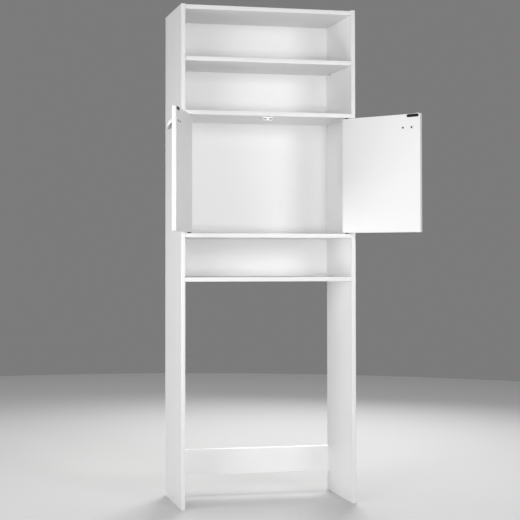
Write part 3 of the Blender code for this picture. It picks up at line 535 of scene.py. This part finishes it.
def band_finish():
    """Edge band. Its seams with the facing are faint glue lines along the
    borders of its UV map, whose second part is the way from the nearer one."""
    base = settings("finish").band
    finish = Finish("edge_band")
    across = finish.axes("UV")[Y]
    seam = 1 - finish.step(across, 2 * HAIR, 5 * HAIR)
    grain = finish.noise(1.1 * MM, detail=3)
    tone = finish.clouded(base, 60 * MM, 0.98, 1.02)
    return finish.feed({"Base Color": finish.mix(0.3 * seam, tone, shade(base, 0.4)),
                        "Roughness": 0.3 + 0.1 * grain,
                        "Normal": finish.bump(grain, 0.01 * MM)})


def hardboard():
    """The back board: white lacquer in front, brown pressed fibre behind."""
    front = settings("finish").hardboard
    raw = settings("finish").raw_hardboard
    finish = Finish("hardboard")
    depth = finish.axes()[Y]
    bare = finish.step(depth, BACK_LOW[Y] + 5 * HAIR, BACK_LOW[Y] + 8 * HAIR)
    roll = finish.noise(1.6 * MM, detail=3, roughness=0.6)
    fibre = finish.noise(1.2 * MM, detail=4, roughness=0.7, stretch=ALONG_Z)
    blotch = finish.noise(90 * MM, detail=3)
    white = finish.clouded(front, 220 * MM, 0.98, 1.02, detail=3)
    brown = finish.mix(finish.step(fibre, 0.3, 0.7), shade(raw, 0.72), shade(raw, 1.3))
    brown = finish.mix(0.35 * blotch, brown, shade(raw, 1.5))
    return finish.feed({"Base Color": finish.mix(bare, white, brown),
                        "Roughness": 0.4 + 0.08 * roll + 0.32 * bare,
                        "Normal": finish.bump(roll + fibre * bare, 0.015 * MM)})


def moulded(name, base, rough, gloss=0.5):
    """Moulded plastic or lacquer with a faint fine grain. The gloss is how
    strongly it mirrors, where 0.5 is common plastic."""
    finish = Finish(name)
    grain = finish.noise(0.35 * MM, detail=3, roughness=0.6)
    tone = finish.clouded(base, 22 * MM, 0.96, 1.04)
    return finish.feed({"Base Color": tone, "Roughness": rough + 0.08 * grain,
                        "Specular IOR Level": gloss,
                        "Normal": finish.bump(grain, 0.01 * MM)})


def metal(name, base, rough, patch=7 * MM):
    """Plated or rolled metal, a little dull in cloudy patches."""
    finish = Finish(name)
    cloud = finish.noise(patch, detail=3, roughness=0.6)
    grain = finish.noise(0.5 * MM, detail=3, roughness=0.6)
    tone = finish.mix(cloud, shade(base, 0.86), shade(base, 1.08))
    return finish.feed({"Base Color": tone, "Metallic": 1.0,
                        "Roughness": rough + 0.14 * cloud + 0.06 * grain,
                        "Normal": finish.bump(grain, 0.006 * MM)})


def ferrite():
    """Dark pressed ferrite, grainy like fired clay."""
    finish = Finish("ferrite")
    grain = finish.noise(0.5 * MM, detail=4, roughness=0.7)
    tone = finish.mix(grain, *FERRITE_TONES)
    return finish.feed({"Base Color": tone, "Roughness": 0.5 + 0.2 * grain,
                        "Normal": finish.bump(grain, 0.03 * MM)})


def beech():
    """Beech dowels: short dark flecks along the grain, which runs along X."""
    finish = Finish("beech")
    fleck = finish.noise(0.5 * MM, detail=3, roughness=0.6, stretch=ALONG_X)
    tone = finish.mix(finish.step(fleck, 0.35, 0.7), *BEECH_TONES)
    return finish.feed({"Base Color": tone, "Roughness": 0.55 + 0.15 * fleck,
                        "Normal": finish.bump(fleck, 0.03 * MM)})


def floor_finish():
    """A matt pale floor, a little uneven in tone."""
    base = settings("stage").floor
    finish = Finish("pale_floor")
    cloud = finish.noise(0.9, detail=3)
    tone = finish.mix(cloud, shade(base, 0.99), shade(base, 1.01))
    return finish.feed({"Base Color": tone, "Roughness": 0.85 + 0.1 * cloud})


FINISHES = {
    "melamine": lambda: melamine("melamine_carcass", settings("finish").melamine, True),
    # The doors take a darker copy of the white melamine, as painted shade.
    "shaded_door_melamine": lambda: melamine("melamine_doors", settings("finish").door, False),
    "band": band_finish,
    "hardboard": hardboard,
    "white_plastic": lambda: moulded("white_plastic", settings("finish").plastic, 0.28),
    "black_plastic": lambda: moulded("black_plastic", BLACK_PLASTIC, 0.38, 0.3),
    "black_steel": lambda: moulded("black_lacquer", BLACK_LACQUER, 0.4, 0.15),
    "bright_steel": lambda: metal("bright_steel", settings("finish").steel, 0.2),
    "satin_steel": lambda: metal("satin_steel", settings("finish").satin_steel, 0.45),
    # Painted shade: steel darkened for the screws in shadow.
    "screw_steel": lambda: metal("screw_steel", settings("finish").screw_steel, 0.3),
    "zinc": lambda: metal("zinc", settings("finish").zinc, 0.3, 3 * MM),
    "ferrite": ferrite,
    "beech": beech,
    "floor": floor_finish,
}
made_finishes = {}


def finish_of(slot):
    """A slot's material, made when it is first asked for."""
    if slot not in made_finishes:
        made_finishes[slot] = FINISHES[slot]()
    return made_finishes[slot]


def dress_nodes():
    """Gives each node of the frame its finish, by the record's slots."""
    for part in frame["record"]["subparts"]:
        node = frame["nodes"][part["node"]]
        slot = part["material_slot"]
        # Door boards get the darker copy of the melamine, which is painted shade.
        if slot == "melamine" and node["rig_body"] != CABINET:
            slot = "shaded_door_melamine"
        node.data.materials.clear()
        node.data.materials.append(finish_of(slot))


# Edge bands


def band_section():
    """A band's closed section as (out, across) rows: out of the edge and along
    the board's thickness. It starts on one face, rounds both long corners and
    comes back inside the board."""
    band = settings("bands")
    half = BOARD / 2 + band.lap
    inside = BOARD / 2 - band.lap
    centre = band.thickness - band.radius
    return np.concatenate([
        [(-band.reach, -half)],
        arc((centre, band.radius - half), band.radius, -1, 0),
        arc((centre, half - band.radius), band.radius, 0, 1),
        [(-band.reach, half), (-band.reach, inside), (-band.reach, -inside)]])


def band_mesh(name, path, outs, across, closed, place=CARCASS):
    """Carries the section along a path on a board's edge: a point is the
    path's point, plus out times the edge's outward direction, plus across
    times the thickness direction. The rings at an open path's ends are drawn
    in to their middles, which caps them."""
    path, outs = np.asarray(path, float), np.asarray(outs, float)
    section = band_section()
    rings = (path[:, None] + section[None, :, :1] * outs[:, None]
             + section[None, :, 1:] * np.asarray(across, float))
    along = np.cumsum([0, *np.linalg.norm(np.diff(path, axis=0), axis=1)])
    if not closed:
        caps = rings[[0, -1]].mean(1, keepdims=True) + 0 * rings[[0, -1]]
        rings = np.concatenate([caps[:1], rings, caps[1:]])
        along = np.concatenate([along[:1], along, along[-1:]])
    steps = np.cumsum([0, *np.linalg.norm(np.diff(section, axis=0), axis=1)])
    other_border = steps[-3]
    border = np.minimum(steps, np.abs(other_border - steps))
    uv = np.stack(np.broadcast_arrays(along[:, None], border[None]), -1).reshape(-1, 2)
    faces = grid_faces(*rings.shape[:2], close_rows=closed)
    return new_mesh(name, [(place.out(rings.reshape(-1, 3)), faces)], uv)


def shelf_band(node):
    """The band on a shelf's front edge."""
    low, high = box_of(node)
    height = (low[Z] + high[Z]) / 2
    half = min(high[X] - MIDDLE_X, INNER_HALF - FIT_GAP)
    path = [(MIDDLE_X + side * half, low[Y], height) for side in ENDS]
    mesh = band_mesh(f"{node}_edge_band", path, [(0, -1, 0)] * 2, (0, 0, 1), False)
    new_piece(mesh.name, mesh, "melamine", CABINET, finish="band")


def side_band(name):
    """The band on a side panel: up its front edge and back over its top, round
    a small corner."""
    low, high = box_of(f"{name}_side_panel")
    middle = (low[X] + high[X]) / 2
    corner = settings("bands").radius
    bend = arc((0, 0), 1, 2, 1)
    turn = np.stack([0 * bend[:, 0], bend[:, 0], bend[:, 1]], -1)
    centre = np.array([middle, low[Y] + corner, high[Z] - corner])
    path = [(middle, low[Y], low[Z]), *(centre + corner * turn), (middle, high[Y], high[Z])]
    outs = [(0, -1, 0), *turn, (0, 0, 1)]
    mesh = band_mesh(f"{name}_side_panel_edge_band", path, outs, (1, 0, 0), False)
    new_piece(mesh.name, mesh, "melamine", CABINET, finish="band")


def door_band(name):
    """The band round all four edges of a door, with small rounded corners."""
    low, high = DOORS[name].box(f"{name}_door")
    radius = settings("bands").radius
    depth = (low[Y] + high[Y]) / 2
    path, outs = [], []
    corners = ((high[X], high[Z], 0), (low[X], high[Z], 1), (low[X], low[Z], 2),
               (high[X], low[Z], 3))
    for x, z, quarter in corners:
        turn = arc((0, 0), 1, quarter, quarter + 1)
        centre = np.array([x - math.copysign(radius, x - (low[X] + high[X]) / 2), depth,
                           z - math.copysign(radius, z - (low[Z] + high[Z]) / 2)])
        turn = np.stack([turn[:, 0], 0 * turn[:, 0], turn[:, 1]], -1)
        path.append(centre + radius * turn)
        outs.append(turn)
    mesh = band_mesh(f"{name}_door_edge_band", np.concatenate(path), np.concatenate(outs),
                     (0, 1, 0), True, DOORS[name])
    new_piece(mesh.name, mesh, "melamine", LEAVES[name], finish="band")


# Pulls


# The rim bulges by a share of the wall's thickness. The halvings close in on
# where each ray meets the shell. A boss's end rows lie at the height AT_SHELL
# until they are moved onto the shell.
SKIN_ROWS = 40
SKIN_COLUMNS = 97
RIM_ROWS = 5
RIM_BULGE = 0.2
HALVINGS = 40
BOSS_SIDES = 32
BOSS_END_ROWS = 6
AT_SHELL = 1


def shell_depth(x, z, reach, power):
    """How far a rounded box stands off the door at a place: the depth times
    what the shares of width and height, each raised to the power, leave of
    one, raised to one over the power."""
    left = 1 - (np.abs(x) / reach[X]) ** power - (np.abs(z) / reach[Z]) ** power
    return reach[Y] * np.clip(left, 0, 1) ** (1 / power)


def shell_skin(reach, rise, lip, power):
    """One skin of a pull: where rays from the middle of the opening's edge on
    the door meet a rounded box, at which the shares of its reach, each raised
    to the power, add up to one. The rays turn from straight up the door to
    the slanted opening, and spread from one side to the other."""
    turn = np.linspace(0, math.pi / 2 + math.atan2(rise, lip), SKIN_ROWS)[:, None]
    spread = np.linspace(0, math.pi, SKIN_COLUMNS)
    rays = np.stack(np.broadcast_arrays(-np.cos(spread), -np.sin(spread) * np.sin(turn),
                                        np.sin(spread) * np.cos(turn)), -1)
    seat = np.array([0, 0, rise])
    near = np.zeros(rays.shape[:2] + (1,))
    far = near + 2 * reach.max()
    for _ in range(HALVINGS):
        middle = (near + far) / 2
        shares = np.abs((seat + middle * rays) / reach) ** power
        inside = shares.sum(-1, keepdims=True) < 1
        near, far = np.where(inside, middle, near), np.where(inside, far, middle)
    return seat + near * rays


def pull_shell(reach):
    """A pull's shell about the middle of its open edge on the door: the outer
    skin, an eased rim, and the inner skin back to the door. The rim narrows to
    nothing where the opening meets the door."""
    pull = settings("pulls")
    lip = reach[Y]
    outer = shell_skin(reach, pull.rise, lip, pull.squareness)
    inner = shell_skin(reach - pull.wall, pull.rise, lip, pull.squareness)[::-1]
    middle, half = (outer[-1] + inner[0]) / 2, (outer[-1] - inner[0]) / 2
    below = np.array([0, pull.rise, -lip]) / math.hypot(pull.rise, lip)
    spread = np.linspace(0, math.pi, SKIN_COLUMNS)[:, None]
    turn = np.linspace(0, math.pi, RIM_ROWS + 2)[1:-1, None, None]
    rim = (middle + half * np.cos(turn)
           + below * pull.wall * RIM_BULGE * np.sin(spread) * np.sin(turn))
    rim[:, [0, -1]] = outer[-1, [0, -1]]
    rows = np.concatenate([outer, rim, inner])
    return rows.reshape(-1, 3), open_grid_faces(*rows.shape[:2])


def pull_boss(spot, height, reach):
    """A screw boss from the door to the middle of the shell's wall, where its
    end follows the shell."""
    pull = settings("pulls")
    radius = pull.boss_radius
    ease = 2 * HAIR
    profile = [(0, 0), (radius - ease, 0), (radius, ease),
               *((radius * (1 - inwards), AT_SHELL)
                 for inwards in np.linspace(0, 1, BOSS_END_ROWS))]
    points, faces = turned(profile, BOSS_SIDES)
    x, z = points[:, X] + spot, points[:, Y] + height
    deep = shell_depth(x, z, reach - pull.wall / 2, pull.squareness)
    y = np.where(points[:, Z] == AT_SHELL, deep, points[:, Z])
    return np.stack([x, -y, z], -1), faces


def make_pull(name):
    """A moulded cup pull with its two screw bosses."""
    door = DOORS[name]
    low, high = door.box(f"{name}_pull")
    seat = np.array([(low[X] + high[X]) / 2, high[Y], low[Z]])
    reach = np.array([settings("pulls").width / 2, high[Y] - low[Y], high[Z] - low[Z]])
    surfaces = [pull_shell(reach)]
    for i in (1, 2):
        screw_low, screw_high = door.box(f"{name}_pull_screw_{i}")
        middle = (screw_low + screw_high) / 2 - seat
        surfaces.append(pull_boss(middle[X], middle[Z], reach))
    surfaces = [(door.out(points + seat), faces) for points, faces in surfaces]
    mesh = new_mesh(f"{name}_cup_pull", surfaces)
    new_piece(mesh.name, mesh, "white_plastic", LEAVES[name], (f"{name}_pull",))


# Screws, cams and nails


# A cross recess's bars are RECESS_SLIMNESS times as long as wide, and its depth
# is a share of the head's height. The powers shape the crowns: 2 gives half an
# ellipse and more is flatter. The groove's place and width are shares of a
# cam's radius. What stands out of the back board by NAIL_PROUD is a nail.
HEAD_SIDES = 64
TOP_ROWS = 34
RECESS_SLIMNESS = 4.5
CAM_RECESS_TRIM = 1.3
PAN_RECESS = 0.7
FLAT_RECESS = 0.6
PAN_POWER = 3
NAIL_POWER = 6
NAIL_ROWS = 8
NAIL_SIDES = 24
NAIL_PROUD = 8 * HAIR
GROOVE_DEPTH = 2 * HAIR
GROOVE_PLACE = 0.72
GROOVE_WIDTH = 0.05


def with_recess(surface, reach, depth):
    """Sinks a cross recess into the top rows of a turned head: the height
    falls by the depth inside either of two crossed bars, with sloping sides."""
    points, faces = surface
    bar = reach / RECESS_SLIMNESS
    slope = bar / 2

    def within(place, half):
        return np.clip((half - np.abs(place)) / slope + 0.5, 0, 1)

    x, y = points[:, X], points[:, Y]
    cross = np.maximum(within(x, bar) * within(y, reach), within(y, bar) * within(x, reach))
    top = np.arange(len(points)) < TOP_ROWS * HEAD_SIDES
    points[:, Z] -= depth * cross * top
    return points, faces


def crowned(radius, height, power, rows):
    """Radii and heights of a rounded head: the height times what the share of
    the radius, raised to the power, leaves of one, with that power's root."""
    share = np.sin(np.linspace(0, 1, rows) * math.pi / 2)
    return radius * share, height * np.clip(1 - share ** power, 0, 1) ** (1 / power)


def pan_screw(radius, long):
    """A pan-head screw seated at z = 0."""
    head = settings("heads")
    shank = head.pan_shank
    crown = crowned(radius, head.pan_height, PAN_POWER, TOP_ROWS)
    profile = [*zip(*crown), (shank, 0), (shank, shank - long), (0, -long)]
    return with_recess(turned(profile, HEAD_SIDES), radius * head.recess_share,
                       head.pan_height * PAN_RECESS)


def flat_screw(radius, long):
    """A countersunk screw whose flat head is flush with z = 0."""
    head = settings("heads")
    across = np.linspace(0, radius - HAIR, TOP_ROWS)
    shank = head.flat_shank
    profile = [*zip(across, across * 0), (radius, -HAIR), (shank, -head.flat_height),
               (shank, shank - long), (0, -long)]
    return with_recess(turned(profile, HEAD_SIDES), radius * head.recess_share,
                       head.flat_height * FLAT_RECESS)


def make_screw(node, slot, body, place, axis, sign, maker, finish=None):
    """Replaces a screw by a finer one of the maker's kind. Its head is at the
    end of its box that the sign names along the axis."""
    low, high = place.box(node)
    seat = (low + high) / 2
    radius = (high - low)[(axis + 1) % 3] / 2
    long = (high - low)[axis]
    seat[axis] = high[axis] if sign > 0 else low[axis]
    if maker is pan_screw:
        seat[axis] -= sign * settings("heads").pan_height
        long -= settings("heads").pan_height
    surface = placed(place, aimed(maker(radius, long), seat, axis, sign))
    refine(node, "cross_head", surface, slot, body, finish)


def cam_face():
    """The face of a cam lock, just proud of its board: a flat disc with an
    eased rim, a ring groove that falls as a bell curve, and a cross recess."""
    head = settings("heads")
    radius = head.cam_radius
    across = np.linspace(0, radius - 3 * HAIR, TOP_ROWS)
    from_groove = (across / radius - GROOVE_PLACE) / GROOVE_WIDTH
    groove = -GROOVE_DEPTH * np.exp(-from_groove ** 2)
    profile = [*zip(across, head.cam_proud + groove), (radius, head.cam_proud - 2 * HAIR),
               (radius, -FIT_GAP), (0, -FIT_GAP)]
    return with_recess(turned(profile, HEAD_SIDES),
                       radius * head.recess_share / CAM_RECESS_TRIM, FIT_GAP)


def make_cams(node, axis, sign):
    """The faces of a board's cam locks. The cams' own rings lie FIT_GAP under
    the board's face, which is where their middles are found."""
    low, high = box_of(node)
    face = high[axis] if sign > 0 else low[axis]
    points = node_points(node)
    ring = points[np.abs(points[:, axis] - (face - sign * FIT_GAP)) < HAIR / 2]
    middles = groups_of(ring, 2 * settings("heads").cam_radius)
    middles[:, axis] = face
    surfaces = [aimed(cam_face(), middle, axis, sign) for middle in middles]
    name = f"{node}_cam_faces"
    new_piece(name, new_mesh(name, surfaces), "zinc", CABINET)


def make_nail_heads():
    """Domed heads over the back board's nails, whose flat tops are found just
    outside the board's rear face."""
    head = settings("heads")
    radius = head.nail_radius
    spots = []
    for node in ("left_side_panel", "right_side_panel", *FIXED_SHELVES):
        points = node_points(node)
        inside = np.abs(points[:, X] - MIDDLE_X) < REBATE_HALF
        behind = points[:, Y] > BACK_HIGH[Y] + NAIL_PROUD
        before_rear = points[:, Y] < REAR_Y - HAIR / 2
        spots.append(groups_of(points[inside & behind & before_rear], 3 * radius))
    spots = np.concatenate(spots)
    spots[:, Y] = BACK_HIGH[Y]
    under = FIT_GAP / 2
    across, crown = crowned(radius, head.nail_height, NAIL_POWER, NAIL_ROWS)
    profile = [*zip(across, crown + under), (0, under)]
    surfaces = [aimed(turned(profile, NAIL_SIDES), spot, Y, 1) for spot in spots]
    new_piece("nail_heads", new_mesh("nail_heads", surfaces), "bright_steel", CABINET)


# Pivots and shelf pins


PIVOT_EASE = 7 * HAIR
BUSH_EASE = 5 * HAIR
PEG_EASE = 8 * HAIR


def rounded_rod(radius, bottom, top, ease):
    """Profile rows of a rod with rounded ends, from the axis to the axis."""
    return np.concatenate([
        [(0, top)], arc((radius - ease, top - ease), ease, 1, 0),
        arc((radius - ease, bottom + ease), ease, 0, -1), [(0, bottom)]])


def make_pivot(name, level):
    """A steel pivot pin and the flanged bush that turns on it. The bush's
    radii and heights are read from its node, its flange upwards."""
    door = DOORS[name]
    sign = LEVELS[level]
    pin = f"{name}_{level}_pivot_pin"
    low, high = CARCASS.box(pin)
    middle = (low + high) / 2
    half = (high - low) / 2
    rod = rounded_rod(half[X], -half[Z], half[Z], PIVOT_EASE)
    refine(pin, "turned", aimed(turned(rod), middle, Z, 1), "bright_steel", CABINET)

    bush = f"{name}_{level}_pivot_bush"
    points = (node_points(bush) - door.origin) * (1, 1, sign)
    radius = np.hypot(points[:, X], points[:, Y])
    height = points[:, Z]
    bore = radius[radius > HAIR].min()
    flange, end = height.max(), height.min()
    wide, shank = radius.max(), radius[height < end + HAIR].max()
    under = height[radius > shank + HAIR].min()
    blind = height[np.abs(radius - bore) < HAIR].min()
    shoulder = flange - BUSH_EASE
    profile = np.concatenate([
        [(0, blind), (bore, blind), (bore, shoulder)],
        arc((bore + BUSH_EASE, shoulder), BUSH_EASE, 2, 1),
        arc((wide - BUSH_EASE, shoulder), BUSH_EASE, 1, 0),
        [(wide, under), (shank, under), (shank, end), (0, end)]])
    surface = placed(door, aimed(turned(profile), (0, 0, 0), Z, sign))
    refine(bush, "turned", surface, "black_plastic", LEAVES[name])


def make_shelf_pin(node, side):
    """A steel shelf pin: its shank in the side panel and its thicker peg under
    the loose shelf, both with rounded ends."""
    low, high = box_of(node)
    wall = MIDDLE_X + side * INNER_HALF
    seat = np.array([wall, (low[Y] + high[Y]) / 2, (low[Z] + high[Z]) / 2])
    away = node_points(node) - seat
    out = away[:, X] * -side
    radius = np.hypot(away[:, Y], away[:, Z])
    peg, shank = radius.max(), radius[out < 0].max()
    corner = 2 * HAIR
    profile = np.concatenate([
        [(0, out.max())], arc((peg - PEG_EASE, out.max() - PEG_EASE), PEG_EASE, 1, 0),
        [(peg, FIT_GAP + corner), (peg - corner, FIT_GAP), (shank, FIT_GAP)],
        arc((shank - PEG_EASE, out.min() + PEG_EASE), PEG_EASE, 0, -1), [(0, out.min())]])
    surface = aimed(turned(profile), seat, X, -side)
    refine(node, "turned", surface, "bright_steel", CABINET, "satin_steel")


# Counter plates


PLATE_END_POINTS = 33
PLATE_EASE = 4 * HAIR


def make_counter_plate(name):
    """A pressed plate with round ends. Its outline is a circle whose halves
    are drawn apart, and its rows, those of a rod, run over the face, round the
    rim and back."""
    door = DOORS[name]
    node = f"{name}_counter_plate"
    low, high = door.box(node)
    half = (high - low) / 2
    turn = np.concatenate([np.linspace(-1, 1, PLATE_END_POINTS),
                           np.linspace(1, 3, PLATE_END_POINTS)]) * math.pi / 2
    drawn = np.repeat((1, -1), PLATE_END_POINTS) * (half[X] - half[Z])
    section = rounded_rod(half[Z], -half[Y], half[Y], PLATE_EASE)
    radius, out = section[:, :1], section[:, 1:]
    points = np.stack([radius * np.cos(turn) + drawn, out + 0 * turn,
                       radius * np.sin(turn)], -1).reshape(-1, 3) + (low + high) / 2
    surface = placed(door, (points, grid_faces(len(section), len(turn))))
    refine(node, "pressed", surface, "black_steel", LEAVES[name])


# Stage


# The lens and the sensor are in millimetres, the camera's turns in radians and
# its shift in widths of the picture. Each softbox has its place, its width and
# height, and its spread in degrees.
FLOOR_REACH = 5.0
LENS = 81.78
SENSOR = 36.0
CAMERA_PLACE = (-1.3762, -4.3170, 0.9574)
CAMERA_YAW = 0.1882
CAMERA_PITCH = 0.0223
CAMERA_ROLL = -0.0013
CAMERA_SHIFT = (0.24, -0.0631)
LIT_POINT = (0, 0.1, 1.1)
SOFTBOXES = {
    "key": ((-2.9, -2.7, 1.5), 1.5, 1.5, 80),
    "front": ((-0.4, -4.4, 0.8), 1.4, 0.9, 80),
    "fill": ((1.8, -3.6, 1.8), 1.3, 0.9, 80),
    "side": ((-3.2, -0.9, 0.6), 1.0, 0.8, 80),
    "back": ((1.6, 3.4, 2.2), 2.0, 2.0, 110),
    "top": ((0.0, 0.6, 6.0), 3.5, 3.5, 180),
}


def make_floor():
    """A round pale floor: rings whose points are the radius times the turn's
    cosine and sine."""
    profile = [(0, 0), (FLOOR_REACH / 4, 0), (FLOOR_REACH, 0)]
    mesh = bpy.data.meshes.new("floor")
    points, faces = turned(profile, FINE_SIDES)
    mesh.from_pydata(points.tolist(), [], faces[:, ::-1].tolist())
    mesh.validate()
    mesh.materials.append(finish_of("floor"))
    floor = bpy.data.objects.new("floor", mesh)
    bpy.context.scene.collection.objects.link(floor)


def make_softbox(name, place, width, height, spread):
    """A softbox at a place, turned towards the cabinet's middle. Its grid keeps
    the light within the spread."""
    lamp = bpy.data.lights.new(name, "AREA")
    lamp.energy = getattr(settings("stage"), name)
    lamp.shape = "RECTANGLE"
    lamp.size = width
    lamp.size_y = height
    lamp.spread = math.radians(spread)
    softbox = bpy.data.objects.new(name, lamp)
    softbox.visible_camera = False
    softbox.location = place
    aim = Vector(LIT_POINT) - Vector(place)
    softbox.rotation_euler = aim.to_track_quat("-Z", "Y").to_euler()
    bpy.context.scene.collection.objects.link(softbox)


def make_room():
    """Even light from all round."""
    world = bpy.data.worlds.new("room")
    world.use_nodes = True
    background = world.node_tree.nodes["Background"]
    background.inputs["Color"].default_value = settings("stage").room
    bpy.context.scene.world = world


def make_camera():
    """The photograph's view. The camera turns about the vertical by its yaw,
    up by its pitch and about its own line of sight by its roll."""
    camera = bpy.data.cameras.new("view")
    camera.lens = LENS
    camera.sensor_width = SENSOR
    camera.shift_x, camera.shift_y = CAMERA_SHIFT
    viewer = bpy.data.objects.new("view", camera)
    level = Matrix.Rotation(math.pi / 2 + CAMERA_PITCH, 3, "X")
    turn = Matrix.Rotation(-CAMERA_YAW, 3, "Z")
    lean = Matrix.Rotation(-CAMERA_ROLL, 3, "Z")
    viewer.rotation_euler = (turn @ level @ lean).to_euler()
    viewer.location = CAMERA_PLACE
    bpy.context.scene.collection.objects.link(viewer)
    bpy.context.scene.camera = viewer


# Operators


UNDOABLE = {"REGISTER", "UNDO"}
DONE = {"FINISHED"}


class CABINET_OT_stage(bpy.types.Operator):
    """Makes the floor, the lights and the camera"""
    bl_idname = "cabinet.stage"
    bl_label = "Stage"
    bl_options = UNDOABLE

    def execute(self, context):
        make_floor()
        make_room()
        for name, fitting in SOFTBOXES.items():
            make_softbox(name, *fitting)
        make_camera()
        bpy.context.scene.view_settings.view_transform = "Standard"
        return DONE


class CABINET_OT_boards(bpy.types.Operator):
    """Gives every board and fitting of the frame its finish"""
    bl_idname = "cabinet.boards"
    bl_label = "Boards and fittings"
    bl_options = UNDOABLE

    def execute(self, context):
        dress_nodes()
        return DONE


class CABINET_OT_edge_bands(bpy.types.Operator):
    """Bands the visible edges of the boards and doors"""
    bl_idname = "cabinet.edge_bands"
    bl_label = "Edge bands"
    bl_options = UNDOABLE

    def execute(self, context):
        for node in (*FIXED_SHELVES, "loose_shelf"):
            shelf_band(node)
        for name in SIDES:
            side_band(name)
            door_band(name)
        return DONE


class CABINET_OT_pulls(bpy.types.Operator):
    """Moulds the cup pulls of both doors"""
    bl_idname = "cabinet.pulls"
    bl_label = "Cup pulls"
    bl_options = UNDOABLE

    def execute(self, context):
        for name in SIDES:
            make_pull(name)
        return DONE


class CABINET_OT_screws(bpy.types.Operator):
    """Makes the screws of the pulls, the catch, its plates and the brackets"""
    bl_idname = "cabinet.screws"
    bl_label = "Screws"
    bl_options = UNDOABLE

    def execute(self, context):
        for name in SIDES:
            door, leaf = DOORS[name], LEAVES[name]
            for i in (1, 2):
                # The pull screws take the darkened steel, painted shade.
                make_screw(f"{name}_pull_screw_{i}", "bright_steel", leaf, door, Y, 1,
                           pan_screw, "screw_steel")
                make_screw(f"{name}_counter_plate_screw_{i}", "black_steel", leaf, door,
                           Y, 1, flat_screw)
                make_screw(f"{name}_wall_bracket_screw_{i}", "bright_steel", CABINET,
                           CARCASS, Z, 1, flat_screw)
            # The catch screw takes the darkened steel, painted shade.
            make_screw(f"{name}_catch_screw", "bright_steel", CABINET, CARCASS, Z, -1,
                       flat_screw, "screw_steel")
        return DONE


class CABINET_OT_cams(bpy.types.Operator):
    """Makes the faces of the cam locks and the heads of the nails"""
    bl_idname = "cabinet.cams"
    bl_label = "Cam locks and nails"
    bl_options = UNDOABLE

    def execute(self, context):
        make_cams("top_panel", Z, 1)
        make_cams("door_compartment_ceiling", Z, 1)
        make_cams("door_compartment_floor", Z, -1)
        make_cams("machine_bay_ceiling", Z, -1)
        make_cams("rear_rail", Y, 1)
        make_nail_heads()
        return DONE


class CABINET_OT_pivots(bpy.types.Operator):
    """Turns the doors' pivot pins and bushes and the shelf pins"""
    bl_idname = "cabinet.pivots"
    bl_label = "Pivots and shelf pins"
    bl_options = UNDOABLE

    def execute(self, context):
        for name, side in SIDES.items():
            for level in LEVELS:
                make_pivot(name, level)
            for end in ("front", "rear"):
                make_shelf_pin(f"{name}_{end}_shelf_pin", side)
        return DONE


class CABINET_OT_counter_plates(bpy.types.Operator):
    """Presses the plates that the magnets hold"""
    bl_idname = "cabinet.counter_plates"
    bl_label = "Counter plates"
    bl_options = UNDOABLE

    def execute(self, context):
        for name in SIDES:
            make_counter_plate(name)
        return DONE


OPERATORS = (CABINET_OT_boards, CABINET_OT_edge_bands, CABINET_OT_pulls, CABINET_OT_screws,
             CABINET_OT_cams, CABINET_OT_pivots, CABINET_OT_counter_plates,
             CABINET_OT_stage)


class CABINET_PT_panel(bpy.types.Panel):
    """Lists the cabinet's sizes, colours and steps"""
    bl_label = "Washing Machine Cabinet"
    bl_space_type = "VIEW_3D"
    bl_region_type = "UI"
    bl_category = "Cabinet"

    def draw(self, context):
        for group, kind in SETTINGS.items():
            box = self.layout.box()
            for name in kind.__annotations__:
                box.prop(settings(group), name)
        for operator in OPERATORS:
            self.layout.operator(operator.bl_idname)


CLASSES = (*SETTINGS.values(), *OPERATORS, CABINET_PT_panel)


def register():
    """Registers the classes and hangs the settings on the scene."""
    for kind in CLASSES:
        bpy.utils.register_class(kind)
    for group, kind in SETTINGS.items():
        setattr(bpy.types.Scene, f"cabinet_{group}", bpy.props.PointerProperty(type=kind))


def unregister():
    """Takes back what register did."""
    for group in SETTINGS:
        delattr(bpy.types.Scene, f"cabinet_{group}")
    for kind in reversed(CLASSES):
        bpy.utils.unregister_class(kind)


def main():
    """Makes every piece."""
    register()
    for operator in OPERATORS:
        step = operator.bl_idname.split(".")[1]
        getattr(bpy.ops.cabinet, step)()


if __name__ == "__main__":
    main()
